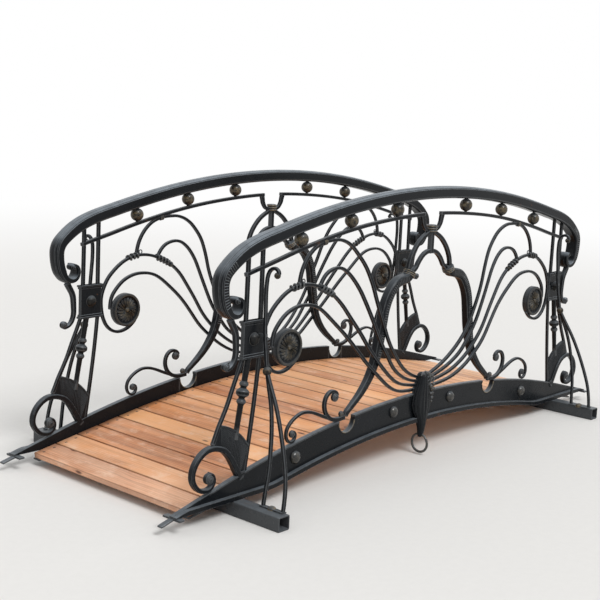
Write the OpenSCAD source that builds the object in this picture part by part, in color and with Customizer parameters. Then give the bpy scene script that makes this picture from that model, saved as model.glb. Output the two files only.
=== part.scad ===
// Garden moon bridge: a low arched steel footbridge with timber boards and two forged scroll railings.
// X runs along the bridge, Y across it and Z up. The ground is at z = 0, under the two sleepers.
// Each railing is drawn flat in its own plane, where z = 0 is the top of the sleepers.

/* [Bridge] */
// Distance between the planes of the two railings
rail_gap = 1000; // [800:10:1400]
// Distance from the middle to the tip of a stringer
tip_x = 1563; // [1500:1:1700]
// Thickness of a stringer at its tip
tip_h = 6; // [4:1:12]

/* [Sleepers] */
// Height of a sleeper
sleeper_h = 60; // [56:1:100]
// Width of a sleeper along the bridge
sleeper_w = 62; // [50:1:90]
// Distance from the middle of the bridge to the middle of a sleeper
sleeper_x = 1232; // [1210:1:1260]
// How far a sleeper reaches past the plane of a railing
sleeper_out = 290; // [280:1:400]
// Wall of the sleeper's box section
sleeper_wall = 5; // [3:1:8]

/* [Stringers] */
// Thickness of the arched plate
stringer_t = 20; // [12:1:30]
// Top of the plate at the middle
stringer_top = 238; // [220:1:260]
// Distance from the middle to where the top edge turns straight
knee_x = 1375; // [1350:1:1420]
// Top of the plate at that place
knee_z = 54; // [45:1:65]
// Underside of the plate at the middle
stringer_low = 103; // [90:1:120]
// Distance from the middle to where the underside turns level
arch_x = 1027; // [900:1:1100]
// Height of the bottom flange
lip_h = 20; // [10:1:30]
// How far the bottom flange stands out of the plate
lip_out = 19; // [10:1:30]
// Height of the bead along the top edge
bead_h = 7; // [4:1:12]
// How far that bead stands out of the plate
bead_out = 4; // [2:1:8]
// Distance from the middle to the round notch in the top edge
notch_x = 560; // [520:1:600]
// Radius of that notch
notch_r = 52; // [40:1:60]
// Height of the notch's middle
notch_z = 198; // [190:1:205]

/* [Deck] */
// Number of boards
board_n = 25; // [21:2:29]
// Thickness of a board
board_t = 25; // [18:1:32]
// Gap between two boards
board_gap = 5; // [2:1:10]
// Top of the boards at the middle
deck_top = 166; // [155:1:175]
// Radius of the arch of boards
deck_r = 5700; // [5000:50:7000]
// Distance from the middle to where the boards run straight down
deck_knee = 1000; // [900:10:1100]
// How far the deck runs on past a sleeper
deck_out = 200; // [150:1:250]
// Gap between a sleeper and the boards over it
deck_lift = 7; // [3:1:15]
// Width of the ledge under the boards
ledge_w = 40; // [25:1:60]
// Thickness of that ledge
ledge_t = 6; // [4:1:10]
// Clearance between a board's end and the plate
board_play = 2; // [1:0.5:5]

/* [Handrail] */
// Width of the handrail across the bridge
rail_w = 66; // [50:1:76]
// Height of the handrail's section
rail_h = 56; // [44:1:62]
// Bevel along the handrail's upper edges
rail_bevel = 9; // [3:1:12]
// Height of the handrail's middle line at the middle of the bridge
rail_z = 1167; // [1150:1:1190]
// Thickness of the lower rail
low_rail = 16; // [12:1:20]
// Diameter of the balls between the two rails
ball_d = 60; // [45:1:70]
// Diameter of the pin through a ball
ball_pin = 12; // [8:1:20]

/* [Scrollwork] */
// Thickness of the fan's bars
fan_bar = 14; // [10:1:18]
// Radius of a rosette
rose_r = 76; // [60:1:90]
// Thickness of a rosette at its rim
rose_t = 36; // [24:1:44]
// Distance from the middle to the middle of a rosette
rose_x = 957; // [940:1:975]
// Height of a rosette's middle
rose_z = 572; // [560:1:585]
// Width of the thick stem, in the plane of the railing
stem_w = 44; // [30:1:50]
// Depth of the thick stem, across that plane
stem_d = 46; // [30:1:60]

/* [Posts] */
// Thickness of a post
post_bar = 15; // [10:1:20]
// Height of the plate that joins the posts
plate_h = 150; // [130:1:170]
// How far that plate reaches past the posts
plate_edge = 8; // [4:1:16]
// Thickness of that plate
plate_t = 18; // [12:1:30]
// Diameter of the rivet on that plate
plate_rivet = 42; // [30:1:60]
// Diameter of the rivets on a stringer
stringer_rivet = 42; // [30:1:56]
// How far a stringer's rivet stands out
rivet_out = 17; // [10:1:20]

/* [Braces] */
// Thickness of a brace's bars
brace_bar = 14; // [10:1:18]
// Distance from the middle to the foot of a brace
brace_x = 1212; // [1209:1:1220]
// Distance of a brace's outer foot from the plane of the railing
brace_out = 250; // [220:1:270]

/* [Hidden] */

iron = [0.17, 0.18, 0.19];
timber = [0.62, 0.36, 0.2];
play = 0.3;
reach = 4000;

// Plane curves: a station is [x, z, heading], and two tangent arcs join each station to the next.
// A piece is [x, z, heading, turn, size], where size is its radius, or its length where turn is 0.

function spot(s) = [s[0], s[1]];
function dir(h) = [cos(h), sin(h)];
function side(h) = [-sin(h), cos(h)];
function turn_of(t, c) = 2 * atan2(t[0] * c[1] - t[1] * c[0], t * c);

function arc_to(s, q) =
    let (c = q - spot(s), a = turn_of(dir(s[2]), c))
    abs(a) < 0.1
        ? [s[0], s[1], s[2], 0, norm(c)]
        : [s[0], s[1], s[2], a, norm(c) / (2 * sin(abs(a) / 2))];

function biarc(s, e) =
    let (
        v = spot(e) - spot(s),
        t0 = dir(s[2]),
        t1 = dir(e[2]),
        open = 2 * (1 - t0 * t1),
        b = v * (t0 + t1),
        d = open < 0.0001 ? (v * v) / (2 * b) : (sqrt(b * b + open * (v * v)) - b) / open,
        mid = (spot(s) + spot(e) + d * (t0 - t1)) / 2,
        first = arc_to(s, mid),
        next = [mid[0], mid[1], s[2] + first[3]]
    )
    [first, arc_to(next, spot(e))];

function pieces(stations) = [
    for (i = [0:len(stations) - 2]) each biarc(stations[i], stations[i + 1])
];

function along(p, f) =
    p[3] == 0
        ? [p[0] + p[4] * f * cos(p[2]), p[1] + p[4] * f * sin(p[2]), p[2]]
        : let (
            r = p[3] > 0 ? p[4] : -p[4],
            h = p[2] + p[3] * f,
            q = spot(p) + r * side(p[2]) - r * side(h)
        )
        [q[0], q[1], h];

function piece_len(p) = p[3] == 0 ? p[4] : p[4] * abs(p[3]) * PI / 180;
function run_len(ps, n) = n == 0 ? 0 : piece_len(ps[n - 1]) + run_len(ps, n - 1);

// Points along a run of pieces: [x, z, heading, share of the whole length]
function samples(ps) =
    let (total = run_len(ps, len(ps)))
    [
        for (i = [0:len(ps) - 1])
            let (n = steps_of(ps[i]), before = run_len(ps, i))
            for (k = [0:n - (i == len(ps) - 1 ? 0 : 1)])
                concat(along(ps[i], k / n), [(before + piece_len(ps[i]) * k / n) / total])
    ];

// Steps that keep a chord within a third of a millimetre of its arc
function steps_of(p) = max(1, ceil(sqrt(piece_len(p) * abs(p[3]) * PI / 180 / 2.4)));

// Flat bar along a run, which tapers from one width to another
module taper(stations, w0, w1, d) {
    pts = samples(pieces(stations));
    left = [for (p = pts) spot(p) + side(p[2]) * (w0 + (w1 - w0) * p[3]) / 2];
    right = [for (p = pts) spot(p) - side(p[2]) * (w0 + (w1 - w0) * p[3]) / 2];
    linear_extrude(d, center = true) polygon(concat(left, reversed(right)));
}

// Square or flat bar along a run
module bar(stations, w, d) {
    taper(stations, w, w, d);
}

function reversed(list) = [for (i = [len(list) - 1:-1:0]) list[i]];

// Place at a distance along a run of pieces
function place_at(ps, s, i = 0) =
    let (l = piece_len(ps[i]))
    s <= l || i == len(ps) - 1 ? along(ps[i], min(s / l, 1)) : place_at(ps, s - l, i + 1);

// Puts its children at equal distances along a run, with their x axis along it
module spaced(stations, from, to, pitch) {
    ps = pieces(stations);
    for (s = [from:pitch:to]) {
        p = place_at(ps, s);
        translate([p[0], p[1], 0]) rotate([0, 0, p[2]]) children();
    }
}

// Round collar with three ridges and its axis along a heading in the plane
module collar_at(x, z, h, d, len) {
    translate([x, z, 0]) rotate([0, 90, h]) {
        cylinder(d = d - 8, h = len, center = true, $fn = 48);
        for (k = [-1:1])
            translate([0, 0, k * len * 0.36]) cylinder(d = d, h = len * 0.2, center = true, $fn = 48);
    }
}

// Bar with a moulded section, in three layers that narrow towards its corners
module moulding(stations, h, w, bevel) {
    for (k = [0:2]) bar(stations, h - k * bevel, w - (2 - k) * bevel);
}

// Cross ribs on the two faces of a moulded bar
rib_pitch = 11;
rib_w = 5;
rib_share = 0.5;
rib_out = 1.5;

module ribs(stations, from, to, h, w) {
    spaced(stations, from, to, rib_pitch)
        cube([rib_w, h * rib_share, w + 2 * rib_out], center = true);
}

// Ball in the eye of a scroll, on the side that the scroll turns to
module eye(stations, turn, d) {
    last = stations[len(stations) - 1];
    c = spot(last) + side(last[2]) * turn * (d / 2 - 4);
    ball_at(c[0], c[1], d);
}

module ball_at(x, z, d) {
    translate([x, z, 0]) sphere(d = d, $fn = 48);
}

// Places

module panel() {
    translate([0, -rail_gap / 2, sleeper_h]) rotate([90, 0, 0]) children();
}

module front() {
    panel() children();
}

module back() {
    mirror([0, 1, 0]) panel() children();
}

module pair() {
    children();
    mirror([1, 0, 0]) children();
}

// Stringer outlines

function radius_of(run, rise) = (run * run + rise * rise) / (2 * rise);
function drop(x, r) = r - sqrt(r * r - x * x);

top_r = radius_of(knee_x, stringer_top - knee_z);
low_r = radius_of(arch_x, stringer_low);
stringer_steps = 44;

function top_at(x) =
    abs(x) < knee_x
        ? stringer_top - drop(x, top_r)
        : knee_z + (tip_h - knee_z) * (abs(x) - knee_x) / (tip_x - knee_x);
function low_at(x) = abs(x) < arch_x ? stringer_low - drop(x, low_r) : 0;

top_xs = concat([-tip_x], [for (i = [-stringer_steps:stringer_steps]) knee_x * i / stringer_steps], [tip_x]);
low_xs = concat([-tip_x], [for (i = [-stringer_steps:stringer_steps]) arch_x * i / stringer_steps], [tip_x]);

// Outline of the bottom flange, which stays under the top of the plate
function band(h) = concat(
    [for (x = low_xs) [x, low_at(x)]],
    [for (x = reversed(low_xs)) [x, min(low_at(x) + h, top_at(x))]]
);

module stringer_outline() {
    polygon(concat(
        [for (x = top_xs) [x, top_at(x)]],
        [for (x = reversed(low_xs)) [x, low_at(x)]]
    ));
}

module notches() {
    pair() translate([notch_x, notch_z, -reach / 2]) cylinder(r = notch_r, h = reach, $fn = 96);
}

// Deck

deck_knee_z = deck_top - drop(deck_knee, deck_r);
sleeper_edge = sleeper_x + sleeper_w / 2;
deck_slope = (deck_knee_z - board_t - deck_lift) / (sleeper_edge - deck_knee);
deck_x = sleeper_edge + deck_out;

function deck_at(x) =
    abs(x) < deck_knee
        ? deck_top - drop(x, deck_r)
        : deck_knee_z - deck_slope * (abs(x) - deck_knee);

pitch = 2 * deck_x / board_n;
function joint_at(i) = let (x = -deck_x + i * pitch) [x, deck_at(x) - board_t];
board_len = rail_gap - stringer_t - 2 * board_play;

module deck_boards() {
    color(timber)
        for (i = [0:board_n - 1]) {
            a = joint_at(i);
            b = joint_at(i + 1);
            run = norm(b - a);
            translate([a[0], 0, sleeper_h + a[1]])
                rotate([0, -atan2(b[1] - a[1], b[0] - a[0]), 0])
                    translate([board_gap / 2, -board_len / 2, 0])
                        cube([run - board_gap, board_len, board_t]);
        }
}

module ledge() {
    joints = [for (i = [0:board_n]) joint_at(i)];
    translate([0, 0, -stringer_t / 2 - ledge_w])
        linear_extrude(ledge_w + stringer_t / 4)
            polygon(concat(joints, [for (j = reversed(joints)) [j[0], j[1] - ledge_t]]));
}

// Sleepers

module sleeper() {
    y_end = rail_gap / 2 + sleeper_out;
    color(iron)
        translate([sleeper_x - sleeper_w / 2, -y_end, 0])
            difference() {
                cube([sleeper_w, 2 * y_end, sleeper_h]);
                translate([sleeper_wall, -1, sleeper_wall])
                    cube([sleeper_w - 2 * sleeper_wall, 2 * y_end + 2, sleeper_h - 2 * sleeper_wall]);
            }
}

// Stringer

module stringer() {
    color(iron)
        difference() {
            union() {
                linear_extrude(stringer_t, center = true) stringer_outline();
                linear_extrude(stringer_t / 2 + lip_out) polygon(band(lip_h));
                linear_extrude(stringer_t / 2 + bead_out)
                    polygon(concat(
                        [for (x = bead_xs) [x, top_at(x) - bead_h]],
                        [for (x = reversed(bead_xs)) [x, top_at(x)]]
                    ));
                ledge();
            }
            notches();
        }
}

bead_xs = [for (i = [-stringer_steps:stringer_steps]) knee_x * i / stringer_steps];

// Handrail: the middle line of its section, from the middle of the bridge to the curl at its end
rail_line = [
    [0, rail_z, 0],
    [600, rail_z - 44, -8.4],
    [1000, rail_z - 123, -13.5],
    [1180, rail_z - 170, -19],
    [1268, rail_z - 212, -33],
    [1346, rail_z - 310, -90],
    [1318, rail_z - 412, -125]
];
rail_curl = [
    [1318, rail_z - 412, -125],
    [1276, rail_z - 432, 180],
    [1242, rail_z - 392, 90],
    [1266, rail_z - 364, 0]
];
rail_rib_start = 1300;
rail_rib_end = 1515;
curl_bar = 22;
curl_ball = 40;
s_bar = [
    [1290, rail_z - 443, -120],
    [1254, rail_z - 520, -95],
    [1262, rail_z - 615, -60],
    [1305, rail_z - 640, 0]
];

module rail_body() {
    pair() moulding(rail_line, rail_h, rail_w, rail_bevel);
}

module handrail() {
    color(iron) {
        rail_body();
        pair() {
            taper(rail_curl, rail_h, curl_bar, rail_w);
            taper(s_bar, curl_bar, curl_bar * 0.7, curl_bar);
            eye(rail_curl, -1, curl_ball);
            eye(s_bar, 1, curl_ball);
            ribs(rail_line, rail_rib_start, rail_rib_end, rail_h, rail_w);
        }
    }
}

// Lower rail, with a hook down to the collar at the middle
low_line = [
    [1214, 887, 166],
    [999, 940, 165.3],
    [755, 996, 168.4],
    [392, 1050, 174.5],
    [60.5, 1070, 179]
];
low_hook = [
    [76, 1072, -92],
    [69, 1038, -100],
    [56, 1012, -125],
    [24, 990, -145]
];
hook_top = 27;
hook_end = 13;
hook_d = 15;

module low_rail_body() {
    pair() {
        bar(low_line, low_rail, low_rail);
        taper(low_hook, hook_top, hook_end, hook_d);
    }
}

module lower_rail() {
    color(iron)
        difference() {
            union() {
                low_rail_body();
                centre_collar();
            }
            post_bars();
        }
}

collar_d = 52;
collar_h = 34;
collar_z = 1003;

module centre_collar() {
    collar_at(0, collar_z, 90, collar_d, collar_h);
}

// Balls between the rails
balls = [[268, 1100], [585, 1066], [899, 1005.5]];
ball_room = 60;

module half_rails() {
    moulding(rail_line, rail_h, rail_w, rail_bevel);
    bar(low_line, low_rail, low_rail);
}

// Only balls larger than the gap are let into the rails, their pins always
module rail_balls() {
    color(iron)
        pair() {
            difference() {
                for (b = balls) ball_at(b[0], b[1], ball_d);
                if (ball_d > ball_room) half_rails();
            }
            difference() {
                for (b = balls)
                    translate([b[0], b[1], 0]) rotate([90, 0, 0])
                        cylinder(d = ball_pin, h = ball_d + 2 * ball_pin, center = true, $fn = 32);
                half_rails();
            }
        }
}

// Arches from the collar at the middle down to the stems, and the short bar between them
centre_bar = 24;
centre_bar_z = 888;
arch_bar = 19;
arch_outer = [
    [12, 990, -28],
    [85, 950, -38],
    [152, 866, -66],
    [168, 808, -70]
];
arch_inner = [
    [4, 900, -2],
    [62, 880, -38],
    [100, 838, -58],
    [134, 806, -57]
];

// Thick stems, from those arches down to the notch in the stringer
stem_line = [
    [156, 806, -60],
    [223, 780, -12],
    [309, 701, -62],
    [345, 565, -80],
    [378, 424, -69],
    [443, 323, -47],
    [548, 236, -36]
];
stem_bevel = 7;
stem_rib_start = 34;
stem_rib_end = 720;
stem_collar_d = 66;
stem_foot_d = 60;

module arches() {
    translate([-centre_bar / 2, centre_bar_z, -centre_bar / 2])
        cube([centre_bar, collar_z - centre_bar_z, centre_bar]);
    pair() {
        bar(arch_outer, arch_bar, arch_bar);
        bar(arch_inner, arch_bar, arch_bar);
    }
}

module stem_body() {
    pair() bar(stem_line, stem_w, stem_d);
}

module stem_foot() {
    pair() collar_at(545, 238, -36, stem_foot_d, 26);
}

module stems() {
    color(iron)
        difference() {
            union() {
                arches();
                pair() {
                    moulding(stem_line, stem_w, stem_d, stem_bevel);
                    ribs(stem_line, stem_rib_start, stem_rib_end, stem_w, stem_d);
                    collar_at(154, 806, -60, stem_collar_d, 36);
                }
                stem_foot();
            }
            linear_extrude(reach, center = true) stringer_outline();
            low_rail_body();
            centre_collar();
        }
}

// Fan of bars, from the sheaf at the middle to the rosette
fan_a = [
    [60, 318, 18],
    [284, 480, 50],
    [384, 652, 63],
    [468, 842, 61],
    [549, 938, 43],
    [649, 988, 10],
    [699, 990, 0],
    [783, 977, -18],
    [856, 926, -50],
    [898, 822, -86]
];
fan_b = [
    [60, 296, 12],
    [238, 372, 35],
    [345, 488, 51],
    [443, 645, 60],
    [562, 820, 45],
    [662, 871, 0],
    [743, 841, -45],
    [768, 806, -60]
];
fan_c = [
    [60, 276, 8],
    [253, 334, 31],
    [412, 464, 45],
    [537, 614, 49],
    [662, 745, 37],
    [781, 804, 19],
    [874, 819, 0],
    [1006, 776, -36],
    [1074, 707, -60],
    [1100, 619, -92],
    [1077, 526, -119],
    [993, 474, 180],
    [900, 519, 130]
];
fan_d = [
    [60, 256, 0],
    [261, 295, 26],
    [424, 408, 39],
    [562, 545, 46],
    [724, 683, 37],
    [806, 726, 15],
    [874, 734, 0],
    [949, 719, -22],
    [1027, 657, -52],
    [1047, 582, -93]
];

// The bars run on into the sheaf, which sits off the middle, so one fan ends sooner than the other
fan_starts = [[-12, 297, 15], [-12, 282, 10], [-12, 268, 6], [-12, 256, 0]];
fan_lines = [fan_a, fan_b, fan_c, fan_d];
left_fan_end = 34;
right_fan_end = -6;

// Wire wrapped round a bar
wrap_d = 26;
wrap_w = 6;
wrap_pitch = 9;
wraps = [[841, 907], [1030, 1072]];
wrap_eye = 1014;
wrap_collar = 815;

// Eye of wire that stands on the bar beside a wrap
module wrap_ring() {
    rotate_extrude($fn = 32) translate([9, 0]) circle(d = 5, $fn = 16);
}

module fan(end_x) {
    color(iron)
        difference() {
            union() {
                for (i = [0:3]) bar(concat([fan_starts[i]], fan_lines[i]), fan_bar, fan_bar);
                for (w = wraps)
                    spaced(fan_c, w[0], w[1], wrap_pitch)
                        rotate([0, 90, 0]) cylinder(d = wrap_d, h = wrap_w, center = true, $fn = 32);
                spaced(fan_c, wrap_eye, wrap_eye + 1, 2)
                    translate([0, fan_bar, 0]) wrap_ring();
                collar_at(752, 985, -8, 26, 20);
                spaced(fan_c, wrap_collar, wrap_collar + 1, 2) collar_at(0, 0, 0, wrap_d, wrap_w * 2);
            }
            bar(stem_line, stem_w, stem_d);
            translate([rose_x, rose_z, 0]) cylinder(r = rose_r, h = rose_t, center = true, $fn = 96);
            translate([end_x - reach, -reach / 2, -reach / 2]) cube(reach);
            bar(low_line, low_rail, low_rail);
        }
}

// Rosettes: a rim, a ring of petals, a daisy of ridges and a boss, alike on both faces
rose_disc = 16;
rose_rim = 14;
petal_n = 12;
petal_d = 22;
ridge_n = 16;
ridge_d = 5;
boss_d = 32;

module rose_face() {
    petal_r = rose_r - rose_rim - petal_d / 2 - 1;
    ridge_in = boss_d / 2 - 2;
    for (i = [0:petal_n - 1])
        rotate(i * 360 / petal_n) translate([petal_r, 0, rose_disc / 2]) sphere(d = petal_d, $fn = 32);
    for (i = [0:ridge_n - 1])
        rotate((i + 0.5) * 360 / ridge_n) translate([ridge_in, 0, rose_disc / 2]) rotate([0, 90, 0])
            cylinder(d = ridge_d, h = petal_r - petal_d / 2 - ridge_in - 1, $fn = 24);
    translate([0, 0, rose_disc / 2]) sphere(d = boss_d, $fn = 48);
}

module rosettes() {
    color(iron)
        pair() translate([rose_x, rose_z, 0]) {
            rotate_extrude($fn = 96)
                polygon([
                    [0, -rose_disc / 2], [rose_r - rose_rim, -rose_disc / 2],
                    [rose_r - rose_rim + 4, -rose_t / 2], [rose_r - 4, -rose_t / 2], [rose_r, -rose_t / 2 + 5],
                    [rose_r, rose_t / 2 - 5], [rose_r - 4, rose_t / 2], [rose_r - rose_rim + 4, rose_t / 2],
                    [rose_r - rose_rim, rose_disc / 2], [0, rose_disc / 2]
                ]);
            rose_face();
            mirror([0, 0, 1]) rose_face();
        }
}

// Posts, and the plate that joins them
plate_z = 632;
plate_low = plate_z - plate_h / 2;
plate_high = plate_z + plate_h / 2;
inner_post_x = 1120;
outer_post_x = 1203;
inner_post = [[inner_post_x, 1010, -90], [inner_post_x, plate_z, -90]];
outer_post = [[outer_post_x - 4, 990, -90], [outer_post_x, plate_z, -89]];
plate_in = inner_post_x - post_bar / 2 - plate_edge;
plate_out = outer_post_x + post_bar / 2 + plate_edge;

module post_bars() {
    pair() {
        bar(inner_post, post_bar, post_bar);
        bar(outer_post, post_bar, post_bar);
    }
}

module plate_body() {
    translate([plate_in, plate_low, -plate_t / 2])
        cube([plate_out - plate_in, plate_high - plate_low, plate_t]);
}

module posts() {
    color(iron)
        difference() {
            post_bars();
            rail_body();
            pair() plate_body();
        }
}

// Two steps of moulding along the plate's upper and lower edges
mould_steps = [[18, 3], [9, 6]];

module post_plates() {
    color(iron)
        pair() {
            plate_body();
            for (step = mould_steps)
                for (z = [plate_low, plate_high - step[0]])
                    translate([plate_in - step[1], z, -plate_t / 2 - step[1]])
                        cube([plate_out - plate_in + 2 * step[1], step[0], plate_t + 2 * step[1]]);
            translate([(plate_in + plate_out) / 2, plate_z, plate_t / 2 - 5])
                sphere(d = plate_rivet, $fn = 48);
        }
}

// Bars below the plate
inner_leg = [[inner_post_x - 2, plate_low + 10, -85], [1146, 320, -82], [1186, 60, -81]];
outer_leg = [[outer_post_x + 8, plate_low + 10, -70], [1274, 418, -68], [1320, 326, -60], [1362, 240, -62]];
middle_top = [(inner_post_x + outer_post_x) / 2 + 18, plate_low + 10];
middle_foot = [1238, 240];
leg_bar = 14;

// Turned bar between the other two
module middle_leg() {
    run = norm(middle_foot - middle_top);
    lean = atan2(middle_foot[0] - middle_top[0], middle_top[1] - middle_foot[1]);
    translate([middle_top[0], middle_top[1], 0]) rotate([90, 0, lean])
        rotate_extrude($fn = 48)
            polygon([
                [0, 0], [11, 0], [9, run * 0.2], [12, run * 0.4], [17, run * 0.42], [17, run * 0.46],
                [12, run * 0.48], [9, run * 0.7], [12, run], [0, run]
            ]);
}

module post_legs() {
    color(iron)
        difference() {
            pair() {
                bar(inner_leg, leg_bar, leg_bar);
                bar(outer_leg, leg_bar, leg_bar);
                middle_leg();
            }
            pair() plate_mass();
            linear_extrude(reach, center = true) stringer_outline();
            pair() taper(foot_line, foot_w, foot_w * 0.6, foot_d);
        }
}

module plate_mass() {
    out = mould_steps[1][1];
    translate([plate_in - out, plate_low, -plate_t / 2 - out])
        cube([plate_out - plate_in + 2 * out, plate_h, plate_t + 2 * out]);
}

// Scroll at the foot of the posts
foot_line = [
    [1204, 78, 52],
    [1262, 168, 55],
    [1320, 218, 20],
    [1372, 228, -2],
    [1436, 198, -45],
    [1464, 138, -88],
    [1440, 86, -135],
    [1390, 66, 180],
    [1352, 98, 95],
    [1372, 128, 10]
];
foot_w = 26;
foot_d = 30;
foot_ball = 44;

module foot_scrolls() {
    color(iron)
        difference() {
            pair() {
                taper(foot_line, foot_w, foot_w * 0.6, foot_d);
                eye(foot_line, -1, foot_ball);
            }
            linear_extrude(reach, center = true) stringer_outline();
        }
}

// Half leaf in the corner of the foot, with a rim along its rounded edge
leaf_foot = [1190, 84];
leaf_heart = [1212, 90];
leaf_edge = [
    [1167, 203, 53],
    [1226, 264, 38],
    [1324, 309, 10]
];
leaf_under = [[1356, 236], [1320, 218], [1288, 198], [1262, 168]];
leaf_t = 12;
leaf_rim = 8;
leaf_rim_out = 3;

function leaf_tops() = [for (p = samples(pieces(leaf_edge))) spot(p)];

module leaf_outline() {
    polygon(concat([leaf_foot], leaf_tops(), leaf_under, [leaf_heart]));
}

// Ribs that spread from the leaf's foot towards its edge
leaf_rib_n = 12;
leaf_rib_w = 4;
leaf_rib_out = 2;
leaf_rib_from = 0.5;
leaf_rib_to = 0.93;

module leaf_ribs() {
    for (i = [1:leaf_rib_n]) {
        tip = place_at(pieces(leaf_edge), run_len(pieces(leaf_edge), 4) * i / (leaf_rib_n + 1));
        run = spot(tip) - leaf_heart;
        translate([leaf_heart[0], leaf_heart[1], 0]) rotate([0, 0, atan2(run[1], run[0])])
            translate([norm(run) * leaf_rib_from, -leaf_rib_w / 2, -leaf_t / 2 - leaf_rib_out])
                cube([norm(run) * (leaf_rib_to - leaf_rib_from), leaf_rib_w, leaf_t + 2 * leaf_rib_out]);
    }
}

module foot_leaves() {
    color(iron)
        difference() {
            pair() {
                linear_extrude(leaf_t, center = true) leaf_outline();
                bar(leaf_edge, leaf_rim, leaf_t + 2 * leaf_rim_out);
                leaf_ribs();
            }
            pair() {
                taper(foot_line, foot_w, foot_w * 0.6, foot_d);
                bar(inner_leg, leg_bar, leg_bar);
                bar(outer_leg, leg_bar, leg_bar);
                middle_leg();
            }
            linear_extrude(reach, center = true) stringer_outline();
        }
}

// Scrolls along the top of the stringer
notch_scroll = [
    [566, 212, 0],
    [617, 210, 5],
    [674, 230, 38],
    [704, 292, 92],
    [660, 341, 178],
    [622, 318, 250]
];
low_scroll = [
    [620, 209, 15],
    [737, 252, 24],
    [831, 279, 3],
    [896, 262, -28],
    [940, 202, -92],
    [908, 166, 180],
    [884, 190, 90],
    [904, 210, 0]
];

module stringer_scrolls() {
    color(iron)
        difference() {
            pair() {
                taper(notch_scroll, 20, 14, 16);
                taper(low_scroll, 16, 10, 14);
                eye(notch_scroll, 1, 40);
                eye(low_scroll, -1, 30);
            }
            linear_extrude(reach, center = true) stringer_outline();
            stem_body();
            stem_foot();
        }
}

// Rivets on the outer face of the stringer
rivets = [[225, 177], [888, 100]];

module stringer_rivets() {
    color(iron)
        difference() {
            pair()
                for (r = rivets)
                    translate([r[0], r[1], stringer_t / 2 + rivet_out - stringer_rivet / 2])
                        sphere(d = stringer_rivet, $fn = 48);
            translate([-reach, -reach, stringer_t / 2 - reach]) cube([2 * reach, 2 * reach, reach]);
        }
}

// Anchors at the tips: a strip across under the stringer, and a lug that runs on
strip_len = 96;
strip_w = 26;
strip_t = 8;
lug_len = 74;
lug_w = 24;
lug_lean = -14;

module anchors() {
    color(iron)
        difference() {
            pair() translate([tip_x, 0, 0]) {
                translate([-strip_w, -strip_t, -strip_len / 2]) cube([strip_w, strip_t, strip_len]);
                translate([-strip_w / 2, 0, 0]) rotate([0, 0, lug_lean])
                    translate([0, -strip_t, -lug_w / 2]) cube([lug_len, strip_t, lug_w]);
            }
            linear_extrude(reach, center = true) stringer_outline();
        }
}

// Braces: x is the distance out of the railing. The upper bar and the fork below it lean differently.
brace_top_x = 1124;
brace_neck = [65, 516];
brace_neck_x = 1139;
brace_top_z = 890;
brace_main = [
    [92, 893, 90],
    [70, 914, 180],
    [33, 870, -95],
    [38, 700, -87],
    [brace_neck[0], brace_neck[1] - 8, -80]
];
brace_inner = [
    [brace_neck[0], brace_neck[1], -72],
    [122, 340, -78],
    [142, 180, -86],
    [140, 0, -90]
];
brace_outer = [
    [brace_neck[0], brace_neck[1], -62],
    [158, 345, -66],
    [225, 160, -74],
    [brace_out - 7, 0, -92]
];
brace_foot_in = 131;
brace_foot_t = 5;
brace_rivet_x = 186;
brace_rivet = 38;
brace_rivet_out = 15;

// Turns a drawing of x outwards and z up by a lean towards the middle of the bridge
module lean_from(x0, z0, x1, z1) {
    translate([x0, z0, 0]) rotate([0, 0, atan((x0 - x1) / (z1 - z0))])
        rotate([0, -90, 0]) translate([0, -z0, 0]) children();
}

module brace() {
    lean_from(brace_neck_x, brace_neck[1], brace_top_x, brace_top_z) {
        bar(brace_main, brace_bar, brace_bar);
        ball_at(84, 888, 26);
        translate([0, 640, -brace_bar / 2]) cube([50, brace_bar, brace_bar]);
    }
    lean_from(brace_x, 0, brace_neck_x, brace_neck[1]) {
        bar(brace_inner, brace_bar, brace_bar);
        bar(brace_outer, brace_bar, brace_bar);
        translate([brace_foot_in, 0, -brace_bar]) cube([brace_out - brace_foot_in, brace_foot_t, 2 * brace_bar]);
        ball_at(brace_neck[0], brace_neck[1], 36);
        ball_at(brace_rivet_x, brace_rivet_out - brace_rivet / 2, brace_rivet);
    }
}

module braces() {
    color(iron)
        difference() {
            pair() brace();
            pair() plate_mass();
            translate([-reach / 2, -reach, -reach / 2]) cube([reach, reach, reach]);
        }
}

// Sheaf: a fluted leaf that gathers the bars and hangs down over the stringer, a little off the middle
// Each section is [height over the stringer's top, half width, depth outwards, depth inwards, middle]
sheaf_x = -20;
sheaf_sections = [
    [98, 7, 7, 7, 17],
    [94, 16, 14, 18, 17],
    [84, 24, 18, 27, 17],
    [64, 32, 21, 31, 17],
    [41, 41, 23, 36, 17],
    [20, 52, 24, 38, 17],
    [-4, 62, 25, 38, 17],
    [-28, 68, 26, 38, 17],
    [-50, 70, 26, 38, 17],
    [-76, 63, 25, 38, 18],
    [-102, 50, 23, 36, 20],
    [-127, 36, 21, 30, 23],
    [-154, 26, 18, 20, 25],
    [-180, 20, 15, 16, 25],
    [-200, 16, 13, 13, 23],
    [-210, 11, 9, 9, 22],
    [-214, 5, 4, 4, 22]
];
sheaf_points = 48;
flute_n = 12;
flute_depth = 0.09;
sheaf_gap = 3;

function sheaf_ring(s) = [
    for (i = [0:sheaf_points - 1])
        let (
            a = i * 360 / sheaf_points,
            flute = 1 - flute_depth * (1 - abs(cos(a * flute_n / 2))),
            depth = sin(a) > 0 ? s[2] : s[3]
        )
        [sheaf_x + s[1] * cos(a) * flute, stringer_top + s[0], s[4] + depth * sin(a) * flute]
];

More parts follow.
